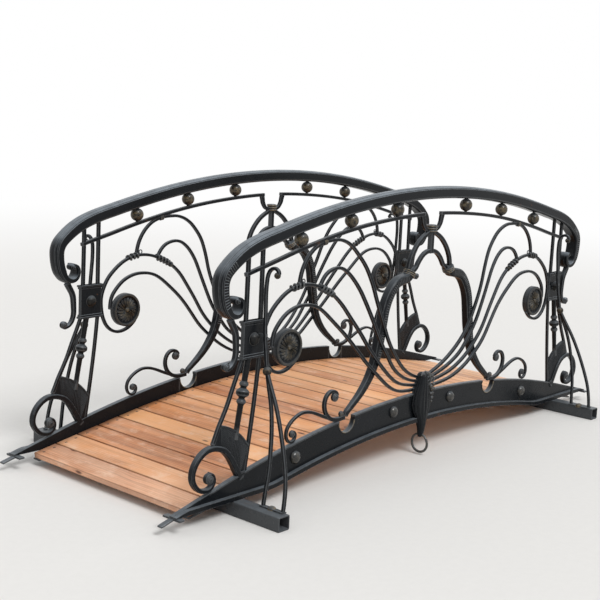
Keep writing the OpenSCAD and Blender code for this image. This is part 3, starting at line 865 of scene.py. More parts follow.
@dataclass(frozen=True)
class IronFinish:
    """Satin black paint on forged steel, with brass patina on raised work, edge wear that also paints highlights on
    convex edges, rust, and dust that also paints the sky's sheen on top faces.
    """

    name: str
    paint: Point = (0.0062, 0.0074, 0.0090)
    sheen_low: float = 0.22
    sheen_high: float = 0.34
    dents: float = 0.3
    dent_size: float = 95.0
    worn: Point = (0.150, 0.158, 0.166)
    wear: float = 0.42
    patina: Point = (0.330, 0.250, 0.135)
    rust: float = 0.15
    rust_colour: Point = (0.062, 0.030, 0.018)
    dust: float = 0.32
    dust_colour: Point = (0.250, 0.285, 0.320)
    gloss: float = 0.13

    def material(self, effects: Effects) -> bpy.types.Material:
        """Builds the material.

        Args:
            effects: The shared node groups.

        Returns:
            The material.
        """
        made = bpy.data.materials.new(self.name)
        t = fresh_tree(made)
        place = t.place()
        hammer = t.group(effects.hammer, Vector=place, Size=self.dent_size, Depth=self.dents)
        # Edge wear, and painted highlights along convex edges.
        wear = t.group(effects.wear, Vector=place, Amount=self.wear)["Mask"]
        # Dust, and a painted pale-blue sheen of the sky on faces that look upwards.
        dust = t.group(effects.dust, Vector=place, Amount=self.dust)["Mask"]
        rust = t.group(effects.rust, Vector=place, Amount=self.rust)
        cloud = t.noise(place, 3.5, 4.0)
        rubbed = t.fit(t.noise(place, 70.0, 5.0, 0.65), 0.34, 0.66)
        raised = t.plus(t.times(t.attribute("edge"), 0.5), 0.55)
        gilt = t.times(t.attribute("gilt"), t.times(rubbed, raised), clamp=True)
        colour = t.layers(self.paint, (t.fit(cloud, 0.3, 0.7), tuple(c * 1.3 for c in self.paint)),
                          (t.times(rust["Mask"], 0.75), self.rust_colour), (wear, self.worn), (gilt, self.patina),
                          (dust, self.dust_colour))
        rough = t.fit(t.noise(place, 22.0, 5.0), 0.3, 0.7, self.sheen_low, self.sheen_high)
        rough = t.plus(rough, t.times(rust["Mask"], 0.3))
        rough = t.plus(rough, t.times(dust, 0.25), clamp=True)
        height = t.plus(hammer["Height"], t.times(rust["Height"], 0.25))
        bump = t.node("ShaderNodeBump", {"Strength": 0.28, "Distance": 0.0025, "Height": height})
        shader = t.node("ShaderNodeBsdfPrincipled", {
            "Base Color": colour, "Roughness": rough, "Metallic": t.times(wear, 0.4, clamp=True),
            "Specular IOR Level": self.gloss, "Normal": bump.outputs[0]})
        t.node("ShaderNodeOutputMaterial", {"Surface": shader.outputs[0]})
        return made


@dataclass(frozen=True)
class TimberFinish:
    """Oiled softwood boards, from pale orange to reddish brown, darker along their edges with grime and painted shade
    of the gaps between them.
    """

    name: str
    pale: Point = (0.930, 0.445, 0.185)
    warm: Point = (0.760, 0.290, 0.105)
    deep: Point = (0.360, 0.110, 0.036)
    knot: Point = (0.160, 0.050, 0.020)
    bleached: Point = (0.96, 0.72, 0.55)
    dirt: Point = (0.110, 0.040, 0.016)

    def material(self, effects: Effects) -> bpy.types.Material:
        """Builds the material.

        Args:
            effects: The shared node groups.

        Returns:
            The material.
        """
        made = bpy.data.materials.new(self.name)
        t = fresh_tree(made)
        place, tone, edge = t.place(), t.attribute("tone"), t.attribute("edge")
        grain = t.group(effects.grain, Vector=place, Tone=tone)
        streaks, blotches = grain["Streaks"], grain["Blotches"]
        level = t.plus(streaks, t.times(t.math("SUBTRACT", tone, 0.5), -0.22))
        scuffs = t.fit(t.noise(t.stretch(place, (16.0, 9.0, 16.0)), 1.0, 7.0, 0.68), 0.5, 0.72)
        trodden = t.times(t.attribute("trodden"), t.fit(streaks, 0.3, 0.7, 1.0, 0.6))
        speckle = t.fit(t.noise(place, 55.0, 6.0, 0.7), 0.52, 0.74)
        # Grime, and painted shade of the gaps, along the board edges.
        grime_and_gap_shade = t.times(t.plus(t.times(edge, 0.3), 0.05), speckle)
        colour = t.layers(
            self.warm, (tone, self.pale), (t.fit(level, 0.42, 0.92), self.deep),
            (t.times(blotches, 0.32), self.bleached), (t.times(scuffs, 0.45), self.bleached), (trodden, self.bleached),
            (grain["Knots"], self.knot), (t.plus(grime_and_gap_shade, t.times(edge, 0.62), clamp=True), self.dirt),
            (t.times(t.attribute("end"), 0.7), self.dirt))
        rough = t.fit(blotches, 0.0, 1.0, 0.42, 0.68)
        bump = t.node("ShaderNodeBump", {"Strength": 0.45, "Distance": 0.0018, "Height": grain["Height"]})
        shader = t.node("ShaderNodeBsdfPrincipled", {
            "Base Color": colour, "Roughness": rough, "Specular IOR Level": 0.4, "Normal": bump.outputs[0]})
        t.node("ShaderNodeOutputMaterial", {"Surface": shader.outputs[0]})
        return made


class Finish(Enum):
    """The finishes of the bridge."""

    # The dust amount of each finish also paints the sky's sheen on upward faces: most on the handrail's crown, then on
    # the stringer plate's flange.
    SMOOTH = IronFinish("smooth_black_iron", dents=0.08, wear=0.35, rust=0.10, dust=0.85, sheen_low=0.16,
                        sheen_high=0.26)
    FORGED = IronFinish("forged_black_iron")
    CAST = IronFinish("cast_black_iron", dents=0.4, dent_size=170.0, wear=0.22, rust=0.1, sheen_high=0.40, dust=0.14)
    DOME = IronFinish("rivet_iron", dents=0.25, wear=0.3, rust=0.3, patina=(0.34, 0.30, 0.22), dust=0.25, gloss=0.5,
                      sheen_low=0.14, sheen_high=0.24)
    PLATE = IronFinish("plate_black_iron", dents=0.1, wear=0.4, rust=0.12, dust=0.45, sheen_low=0.2, sheen_high=0.3)
    BALL = IronFinish("ball_iron", dents=0.2, wear=0.2, rust=0.15, patina=(0.310, 0.235, 0.125), dust=0.4,
                      sheen_low=0.18, sheen_high=0.28, gloss=0.3)
    # Finish of the vine: besides the rubbed paint, its strong edge wear paints light-grey highlights on the thin rods.
    RUBBED = IronFinish("rubbed_iron", paint=(0.020, 0.021, 0.023), dents=0.2, wear=0.6, rust=0.15, dust=0.4)
    SLEEPER = IronFinish("sleeper_iron", dents=0.2, wear=0.45, rust=0.4, dust=0.35)
    BOARDS = TimberFinish("oiled_boards")


def add_object(name: str, data: bpy.types.ID) -> bpy.types.Object:
    """Makes an object of a mesh, a camera or a lamp and puts it in the scene.

    Args:
        name: Its name.
        data: The mesh, camera or lamp.

    Returns:
        The object.
    """
    made = bpy.data.objects.new(name, data)
    bpy.context.scene.collection.objects.link(made)
    return made


class Workshop:
    """Turns shapes into dressed objects that ride on the bridge."""

    def __init__(self) -> None:
        """Builds the shared groups and the finishes."""
        effects = Effects()
        self.materials = {finish: finish.value.material(effects) for finish in Finish}

    def hang(self, shape: Shape, name: str, side: Side, finish: Finish, *nodes: str) -> bpy.types.Object:
        """Makes an object of a shape drawn in the plane of a railing.

        Args:
            shape: The shape, in millimetres.
            name: Name of the piece.
            side: Which railing it belongs to.
            finish: Its finish.
            *nodes: The solids that it stands for.

        Returns:
            The object.
        """
        return self.place(shape, name, finish, Slot.IRON,
                          lambda p: (p[0], side.out * (RAILING_Y + p[1]), p[2] + SLEEPER_TOP), *nodes)

    def place(self, shape: Shape, name: str, finish: Finish, slot: Slot, where: Placing, *nodes: str,
              values: dict[str, float] | None = None) -> bpy.types.Object:
        """Makes an object of a shape.

        Args:
            shape: The shape, in millimetres.
            name: Name of the piece.
            finish: Its finish.
            slot: Material slot of the record; not used.
            where: Place of a corner on the bridge, in millimetres.
            *nodes: The solids that it stands for.
            values: Mesh attributes that are the same all over the piece.

        Returns:
            The object.
        """
        mesh = bpy.data.meshes.new(name)
        mesh.from_pydata([tuple(c * MM for c in where(p)) for p in shape.points], [], shape.faces)
        for key, value in {"gilt": None, **(values or {})}.items():
            stored = mesh.attributes.new(key, "FLOAT", "POINT")
            stored.data.foreach_set("value", shape.gilt if value is None else [value] * len(mesh.vertices))
        self.tidy(mesh)
        made = add_object(name, mesh)
        mesh.materials.append(self.materials[finish])
        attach(made, BODY)
        if nodes:
            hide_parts(*nodes)
        LOG.info("%s: %d corners, %d faces", name, len(mesh.vertices), len(mesh.polygons))
        return made

    @staticmethod
    def tidy(mesh: bpy.types.Mesh) -> None:
        """Drops faces of no size, turns the rest outwards, smooths them, and notes where convex edges run.

        Args:
            mesh: The mesh.
        """
        work = bmesh.new()
        work.from_mesh(mesh)
        bmesh.ops.dissolve_degenerate(work, dist=SHORTEST_EDGE, edges=work.edges)
        bmesh.ops.recalc_face_normals(work, faces=work.faces)
        for face in work.faces:
            face.smooth = True
        edge_of = [0.0] * len(work.verts)
        work.verts.index_update()
        for edge in work.edges:
            level = within((edge.calc_face_angle_signed(0.0) - EDGE_FROM) / (EDGE_FULL - EDGE_FROM))
            for v in edge.verts:
                edge_of[v.index] = max(edge_of[v.index], level)
        work.to_mesh(mesh)
        work.free()
        mesh.attributes.new("edge", "FLOAT", "POINT").data.foreach_set("value", edge_of)
        mesh.set_sharp_from_angle(angle=SMOOTH_ANGLE)


# The deck


@dataclass
class Deck:
    """Arched deck of boards laid crosswise, with two screws at each end of a board."""

    boards: int = 25
    thickness: float = 25.0
    gap: float = 5.0
    top: float = 166.0
    radius: float = 5700.0
    knee: float = 1000.0
    reach: float = 1463.0
    lift: float = 7.0
    sleeper_edge: float = 1263.0
    length: float = 976.0
    corner: float = 2.6
    # How far the grime and painted gap shade reach in from a board's edges.
    corner_wear: float = 3.5
    cupping: float = 0.5
    ragged: float = 3.0
    chamfer: float = 2.0
    end_scale: float = 0.93
    wave: float = 0.35
    tone: Flat = (0.5, 0.3)
    bleach: float = 0.42
    bleach_from: float = 0.78
    screw_in: float = 34.0
    screw_side: float = 0.27
    screw_sunk: float = 0.6
    screw: Outline = ((0, -3), (6, -3), (6.4, 0), (6, 0.7), (3, 0.9), (2.6, 0.1), (0, 0.1))
    seed: int = 11
    rows: int = 24

    def height(self, x: float) -> float:
        """Top of the boards, which runs straight down from the knee.

        Args:
            x: Distance from the middle.

        Returns:
            Its height above the sleepers.
        """
        fall = self.radius - math.sqrt(self.radius ** 2 - min(abs(x), self.knee) ** 2)
        knee_z = self.top - (self.radius - math.sqrt(self.radius ** 2 - self.knee ** 2))
        slope = (knee_z - self.thickness - self.lift) / (self.sleeper_edge - self.knee)
        return self.top - fall - slope * max(0.0, abs(x) - self.knee)

    def joint(self, i: int) -> Vector:
        """Lower corner between board i - 1 and board i."""
        x = -self.reach + 2 * self.reach * i / self.boards
        return Vector((x, self.height(x) - self.thickness))

    def board(self, run: float, wobble: random.Random) -> Shape:
        """Shape of one board, with its edges rounded and a little cupped.

        Args:
            run: Its share of the deck along the bridge.
            wobble: Source of its small irregularities.

        Returns:
            The board, from its lower corner, with z up and d along its length.
        """
        width = run - self.gap
        section = box_section(self.thickness, width, self.corner, margin=self.corner_wear)
        cup = wobble.uniform(-self.cupping, self.cupping)
        low = wobble.uniform(0, self.ragged) - self.length / 2
        high = self.length / 2 - wobble.uniform(0, self.ragged)
        reach = high - low - 2 * self.chamfer
        rings = []
        for y in [low, *(low + self.chamfer + reach * i / self.rows for i in range(self.rows + 1)), high]:
            shrink = self.end_scale if y in (low, high) else 1.0
            nudge = self.wave * math.sin(y * 0.012 + cup * 9) * (shrink == 1.0)
            rings.append([(self.gap / 2 + width / 2 + d * shrink + nudge, y, self.thickness / 2 + n * shrink
                           - max(0.0, cup * (1 - (2 * d / width) ** 2) * (n > 0))) for n, d in section])
        made = Shape()
        made.skin(rings)
        return made

    def screws(self, a: Vector, b: Vector, slope: float) -> Shape:
        """Four dark screw heads of one board.

        Args:
            a: Its first lower corner.
            b: Its second lower corner.
            slope: Its angle.

        Returns:
            The heads, placed on the bridge.
        """
        made = Shape()
        up = Vector((-math.sin(slope), math.cos(slope)))
        for end in (-1, 1):
            for share in (self.screw_side, 1 - self.screw_side):
                spot = a.lerp(b, share) + up * (self.thickness - self.screw_sunk)
                centre = (spot.x, end * (self.length / 2 - self.screw_in), spot.y)
                made.turned(self.screw, centre, (up.x, 0, up.y), 0.1, 14)
        return made

    def trodden(self, x: float) -> float:
        """How far feet and weather have bleached the board at a distance from the middle."""
        return self.bleach * max(0.0, abs(x) / self.reach - self.bleach_from) / (1 - self.bleach_from)

    def build(self, shop: Workshop) -> None:
        """Lays the boards and drives the screws.

        Args:
            shop: The workshop.
        """
        wobble = random.Random(self.seed)
        heads = Shape()
        for i in range(self.boards):
            a, b = self.joint(i), self.joint(i + 1)
            slope = math.atan2(b.y - a.y, b.x - a.x)
            tone = within(wobble.gauss(*self.tone))

            def lay(p: Point, a: Vector = a, slope: float = slope) -> Point:
                """Place of a board's corner on the bridge."""
                return (a.x + p[0] * math.cos(slope) - p[2] * math.sin(slope), p[1],
                        SLEEPER_TOP + a.y + p[0] * math.sin(slope) + p[2] * math.cos(slope))

            made = shop.place(self.board((b - a).length, wobble), f"board_{i + 1:02d}", Finish.BOARDS, Slot.TIMBER,
                              lay, "deck_boards", values={"tone": tone, "trodden": self.trodden((a.x + b.x) / 2)})
            self.mark_ends(made.data)
            heads.absorb(self.screws(a, b, slope))
        shop.place(heads, "deck_screws", Finish.CAST, Slot.IRON, lambda p: (p[0], p[1], p[2] + SLEEPER_TOP),
                   "deck_boards")

    def mark_ends(self, mesh: bpy.types.Mesh) -> None:
        """Marks a board's sawn ends, which show darker.

        Args:
            mesh: Mesh of the board.
        """
        limit = (self.length / 2 - self.ragged - 0.5) * MM
        values = [1.0 if abs(v.co.y) > limit else 0.0 for v in mesh.vertices]
        mesh.attributes.new("end", "FLOAT", "POINT").data.foreach_set("value", values)


@dataclass
class Sleeper:
    """Box section that lies across under one end."""

    half: Half
    x: float = 1232.0
    width: float = 62.0
    height: float = 60.0
    wall: float = 5.0
    out: float = 770.0
    corner: float = 6.0
    chamfer: float = 0.97

    def build(self, shop: Workshop) -> None:
        """Builds the hollow section.

        Args:
            shop: The workshop.
        """
        outer = box_section(self.height, self.width, self.corner, 3)
        inner = box_section(self.height - 2 * self.wall, self.width - 2 * self.wall, self.corner / 2, 3)
        made = Shape()
        made.skin([[(d * scale, y, n * scale) for n, d in section] for section, y, scale in (
            (inner, -self.out, 1), (outer, -self.out, self.chamfer), (outer, 1 - self.out, 1),
            (outer, self.out - 1, 1), (outer, self.out, self.chamfer), (inner, self.out, 1))], loop=True)
        x = self.x if self.half is Half.RIGHT else -self.x
        name = f"{self.half.value}_sleeper"
        shop.place(made, f"{name}_section", Finish.SLEEPER, Slot.IRON,
                   lambda p: (p[0] + x, p[1], p[2] + self.height / 2), name)


# The railings


@dataclass
class RailingPart:
    """Piece of one railing, drawn flat in the railing's plane with z = 0 on top of the sleepers."""

    side: Side
    node: ClassVar[str] = ""
    finish: ClassVar[Finish] = Finish.FORGED
    piece: ClassVar[str] = ""

    def shape(self) -> Shape:
        """The piece's shape.

        Returns:
            The shape.
        """
        raise NotImplementedError

    def build(self, shop: Workshop) -> None:
        """Makes the piece and dresses it.

        Args:
            shop: The workshop.
        """
        prefix = self.side.value
        shop.hang(self.shape(), f"{prefix}_{self.piece}", self.side, self.finish, f"{prefix}_{self.node}")


@dataclass(frozen=True)
class Scroll:
    """Tapering bar that curls in and ends in a rolled eye."""

    line: Stations
    section: Outline
    end: Flat
    turn: int
    eye: float
    eye_depth: float
    gilt: float = 0.03
    start: Flat = (1.0, 1.0)

    def add_to(self, made: Shape) -> None:
        """Adds the bar and its eye.

        Args:
            made: Shape to add to.
        """
        line = MiddleLine(self.line)
        made.bar(line, self.section, tapering(self.start, self.end))
        made.scroll_eye(line, self.turn, self.eye, self.eye_depth, self.gilt)


@dataclass
class Stringer(RailingPart):
    """Arched plate with a bottom flange, a bead along its top, two round notches and a ledge for the boards."""

    tip_x: float = 1563.0
    tip_h: float = 6.0
    half_t: float = 10.0
    top: float = 238.0
    knee_x: float = 1375.0
    knee_z: float = 54.0
    low: float = 103.0
    arch_x: float = 1027.0
    ease: float = 50.0
    lip_h: float = 20.0
    lip_out: float = 19.0
    bead_h: float = 7.0
    bead_out: float = 4.0
    notch_x: float = 560.0
    notch_r: float = 52.0
    notch_z: float = 198.0
    notch_steps: int = 28
    notch_edge: float = 0.014
    rim: Outline = ((0, -1), (0, 2.4), (1, 3.2), (3, 3.2), (4, 2.4), (4, -1))
    rim_gilt: float = 0.5
    ledge_w: float = 40.0
    ledge_t: float = 6.0
    columns: int = 150
    node: ClassVar[str] = "stringer"
    piece: ClassVar[str] = "arched_plate"
    finish: ClassVar[Finish] = Finish.PLATE

    @staticmethod
    def fall(x: float, run: float, rise: float) -> float:
        """How far an arc over a run and a rise has fallen at x."""
        radius = (run * run + rise * rise) / (2 * rise)
        return radius - math.sqrt(radius * radius - x * x)

    def top_at(self, x: float) -> float:
        """Height of the top edge.

        Args:
            x: Place along the railing.

        Returns:
            The height.
        """
        x = abs(x)
        if x < self.knee_x:
            return self.top - self.fall(x, self.knee_x, self.top - self.knee_z)
        return self.knee_z + (self.tip_h - self.knee_z) * (x - self.knee_x) / (self.tip_x - self.knee_x)

    def low_at(self, x: float) -> float:
        """Height of the underside, eased where the arch meets the level foot.

        Args:
            x: Place along the railing.

        Returns:
            The height.
        """
        begin = self.arch_x - self.ease
        if abs(x) < begin:
            return self.low - self.fall(x, self.arch_x, self.low)
        left = max(0.0, 1 - (abs(x) - begin) / (2 * self.ease))
        return (self.low - self.fall(begin, self.arch_x, self.low)) * left * left

    def section(self, x: float, high: float, bead: float) -> list[Point]:
        """Corners around the plate, its flange and its bead at one place.

        Args:
            x: Place along the railing.
            high: Top edge there.
            bead: How far the bead stands out there.

        Returns:
            The ring of corners.
        """
        t, low = self.half_t, self.low_at(x)
        lip = t + self.lip_out
        flange = min(low + self.lip_h, high - 0.6)
        under = max(flange + 0.4, high - self.bead_h)
        foot, middle = min(flange + 6.0, under), (low + flange) / 2
        centre = (low + high) / 2
        fillet = 0.4 if under > flange + 2 else 0.0
        ring = [
            (1.4 - t, low), (lip - 1.6, low), (lip - 0.4, low + 0.5), (lip, low + 1.6), (lip, min(low + 4, middle)),
            (lip, max(flange - 4, middle)), (lip, flange - 1.6), (lip - 0.5, flange - 0.4), (lip - 1.6, flange),
            (t + 2.5, flange), (t + 0.6, flange + fillet), (t, min(flange + 2.5, under)), (t, foot),
            (t, max(under - 3, foot)), (t, under), (t + bead * 0.9, under), (t + bead, min(under + 0.8, high)),
            (t + bead, max(high - 1.6, under)), (t + bead - 0.5, max(high - 0.4, under)), (t + bead - 1.6, high),
            (1.6 - t, high), (0.4 - t, high - 0.5), (-t, high - 1.6), (-t, max(high - 4.6, centre)),
            (-t, min(low + 4.6, centre)), (-t, low + 1.6), (0.4 - t, low + 0.4),
        ]
        return [(x, d, z) for d, z in ring]

    def plate(self) -> list[list[Point]]:
        """Rings of corners along the plate, closer together in the notches.

        Returns:
            The rings, in order.
        """
        xs = {round(self.tip_x * (2 * i / self.columns - 1), 3) for i in range(self.columns + 1)}
        for s in (-1, 1):
            xs |= {round(x, 3) for x in (s * self.knee_x - 2.0, s * self.knee_x, s * self.arch_x)}
        rings = [(x, self.section(x, self.top_at(x), self.bead_out if abs(x) < self.knee_x - 1 else 0.0))
                 for x in sorted(xs) if abs(abs(x) - self.notch_x) >= self.notch_r]
        for s in (-1, 1):
            for i, (c, sn) in enumerate(swing(math.pi, 2 * math.pi, self.notch_steps)):
                x = s * self.notch_x + self.notch_r * c
                if i in (0, self.notch_steps):
                    rings.append((x + self.notch_edge * c, self.section(x, self.top_at(x), self.bead_out)))
                rings.append((x, self.section(x, self.notch_z + self.notch_r * sn, 0.0)))
        return [ring for _, ring in sorted(rings, key=lambda placed: placed[0])]

    def shape(self) -> Shape:
        """The plate with its notches and their rims, and the ledge on its inner face.

        Returns:
            The shape.
        """
        made = Shape()
        made.skin(self.plate())
        deck = Deck()
        near, far = 2 - self.half_t, -self.half_t - self.ledge_w
        ledge = ((near, -self.ledge_t), (near, 0), (far + 1, 0), (far, -1), (far, -self.ledge_t))
        joints = [deck.joint(i) for i in range(deck.boards + 1)]
        made.skin([[(j.x, d, j.y + z) for d, z in ledge] for j in joints])
        for s in (-1, 1):
            for face in (-1, 1):
                made.skin([[(s * self.notch_x + (self.notch_r + r) * c, face * (self.half_t + d),
                             self.notch_z + (self.notch_r + r) * sn) for r, d in self.rim]
                           for c, sn in swing(1.03 * math.pi, 1.97 * math.pi, 24)], self.rim_gilt)
        return made


@dataclass
class Handrail(RailingPart):
    """Moulded handrail that curls in at both ends, with a small S below each curl."""

    width: float = 66.0
    height: float = 56.0
    line: Stations = ((0, 1167, 0), (600, 1123, -8.4), (1000, 1044, -13.5), (1180, 997, -19),
                               (1268, 955, -33), (1346, 857, -90), (1318, 755, -125))
    curl: Stations = ((1318, 755, -125), (1276, 735, -180), (1242, 775, -270), (1266, 803, -360))
    small_s: Stations = ((1290, 724, -120), (1254, 647, -95), (1262, 552, -60), (1305, 527, 0))
    curl_bar: float = 13.0
    small_bar: float = 25.0
    curl_eye: float = 29.0
    small_eye: float = 33.0
    bend_slim: float = 0.76
    bend_run: float = 300.0
    curl_reach: float = 1.15
    curl_power: float = 0.6
    curl_flat: float = 0.1
    rib_start: float = 1325.0
    rib_end: float = 1515.0
    rib_share: float = 0.4
    rib_out: float = 0.9
    node: ClassVar[str] = "handrail"
    piece: ClassVar[str] = "moulded_handrail"
    finish: ClassVar[Finish] = Finish.SMOOTH

    def shape(self) -> Shape:
        """The whole rail with its curls, the S bars, the rolled ends and the ribs of the bend.

        Returns:
            The shape.
        """
        curl = MiddleLine(self.curl)
        right = [*self.line, *self.curl[1:]]
        run, least = curl.length * self.curl_reach, self.curl_bar / self.height

        def widths(distance: float, length: float) -> Flat:
            """The rail thins through its bend and along its curl.

            Args:
                distance: Distance along the rail.
                length: Its length.

            Returns:
                Scales of its section.
            """
            near = min(distance, length - distance)
            share = max(0.0, 1 - near / run) ** self.curl_power
            high = 1 - (1 - self.bend_slim) * ease(within(1 - (near - run) / self.bend_run))
            return (high - (self.bend_slim - least) * share, 1.0 - self.curl_flat * share)

        made = Shape()
        made.bar(MiddleLine(mirrored(right)[:-1] + right), rail_section(self.height, self.width), widths, step=16.0)
        half = Shape()
        Scroll(self.small_s, box_section(self.small_bar, self.small_bar, 6.0, 3), (0.55, 0.85), 1, self.small_eye,
               self.small_bar * 1.25).add_to(half)
        half.scroll_eye(curl, -1, self.curl_eye, self.width * 0.94)
        ribs = Shape()
        ribs.ribs(MiddleLine(self.line), self.rib_start, self.rib_end, self.height * self.rib_share,
                  self.width / 2 + self.rib_out)
        half.absorb(ribs, lambda p: (p[0], p[1] + self.width / 4 + self.rib_out / 2, p[2]))
        return made.absorb(half.with_mirror())


@dataclass
class LowerRail(RailingPart):
    """Thin square rail with a hook and the collar at the middle."""

    bar: float = 16.0
    collar_at: Station = (0, 1003, 90)
    collar: Three = (52, 34, 0.8)
    line: Stations = ((1214, 887, 166), (999, 940, 165.3), (755, 996, 168.4), (392, 1050, 174.5),
                               (60.5, 1070, 179))
    hook: Stations = ((76, 1072, -92), (69, 1038, -100), (56, 1012, -125), (24, 990, -145))
    hook_top: float = 27.0
    hook_end: float = 13.0
    hook_d: float = 15.0
    node: ClassVar[str] = "lower_rail"
    piece: ClassVar[str] = "thin_rail"

    def shape(self) -> Shape:
        """Both halves with their hooks, and the collar.

        Returns:
            The shape.
        """
        half = Shape()
        half.bar(MiddleLine(self.line), box_section(self.bar, self.bar, 2.2))
        slim = tapering((1.0, 1.0), (self.hook_end / self.hook_top, 1.0))
        half.bar(MiddleLine(self.hook), box_section(self.hook_top, self.hook_d, 2.6), slim)
        made = half.with_mirror()
        made.collar(self.collar_at, *self.collar)
        return made


@dataclass
class RailBalls(RailingPart):
    """Balls on pins between the two rails."""

    radius: float = 30.0
    pin: float = 6.0
    pin_reach: float = 12.0
    limb: float = math.radians(76)
    gilt: float = 0.75
    spots: Outline = ((268, 1100), (585, 1066), (899, 1005.5))
    node: ClassVar[str] = "rail_balls"
    piece: ClassVar[str] = "balls_on_pins"
    finish: ClassVar[Finish] = Finish.BALL

    def shape(self) -> Shape:
        """The balls with their pins, turned in one piece.

        Returns:
            The shape.
        """
        r, half = self.radius, Shape()
        neck = [(self.pin + 1.5, r), (self.pin, r + 1.5), (self.pin, r + self.pin_reach)]
        limb = [(r * c, r * s) for c, s in swing(-self.limb, self.limb, 24)]
        profile = [*((a, -b) for a, b in reversed(neck)), *limb, *neck]
        for x, z in self.spots:
            ball = Shape()
            ball.turned(profile, (x, 0, z), (0, 0, 1), 0.0, 36)
            # Brass patina in a band a little above each ball's middle, fading towards the poles: partly real patina,
            # partly a painted highlight where the ball faces the light.
            ball.tint(lambda p, z=z: self.gilt * within(1.25 - 1.3 * abs((p[2] - z) / r - 0.1), 0.12))
            half.absorb(ball)
        return half.with_mirror()


STEM_LINE: Stations = (
    (156, 806, -60), (223, 780, -12), (309, 701, -62), (345, 565, -80), (378, 424, -69), (443, 323, -47),
    (548, 236, -36),
)


@dataclass
class Stems(RailingPart):
    """Two thick ribbed stems, the arches above them and the bar between those."""

    width: float = 44.0
    depth: float = 46.0
    bevel: float = 7.0
    rib_end: float = 470.0
    slim: float = 0.5
    slim_from: float = 0.5
    foot: Station = (563, 216, -62)
    rib_start: float = 34.0
    rib_share: float = 0.44
    rib_out: float = 1.6
    collar_at: Station = (154, 806, -60)
    collar: Three = (59, 25, 0.8)
    centre_bar: float = 24.0
    centre_low: float = 888.0
    centre_high: float = 1003.0
    arch_bar: float = 19.0
    outer: Stations = ((12, 990, -28), (85, 950, -38), (152, 866, -66), (168, 808, -70))
    inner: Stations = ((4, 900, -2), (62, 880, -38), (100, 838, -58), (134, 806, -57))
    node: ClassVar[str] = "stems"
    piece: ClassVar[str] = "ribbed_stems"

    def shape(self) -> Shape:
        """Everything from the middle collar down to the notches.

        Returns:
            The shape.
        """
        half = Shape()
        for line in (self.outer, self.inner):
            half.bar(MiddleLine(line), box_section(self.arch_bar, self.arch_bar, 3.4))

        def widths(distance: float, length: float) -> Flat:
            """The stem thins towards its foot."""
            share = max(0.0, distance / length - self.slim_from) / (1 - self.slim_from)
            return (1 - (1 - self.slim) * share, 1 - (1 - self.slim) * share)

        stem = MiddleLine([*STEM_LINE, self.foot])
        half.bar(stem, moulded_section(self.width, self.depth, self.bevel), widths)
        half.ribs(stem, self.rib_start, self.rib_end, self.width * self.rib_share, self.depth + self.rib_out)
        half.collar(self.collar_at, *self.collar)
        made = half.with_mirror()
        c = self.centre_bar / 2
        made.slab(rectangle(-c, self.centre_low, c, self.centre_high), -c, c, 3.0, margin=2.0)
        return made


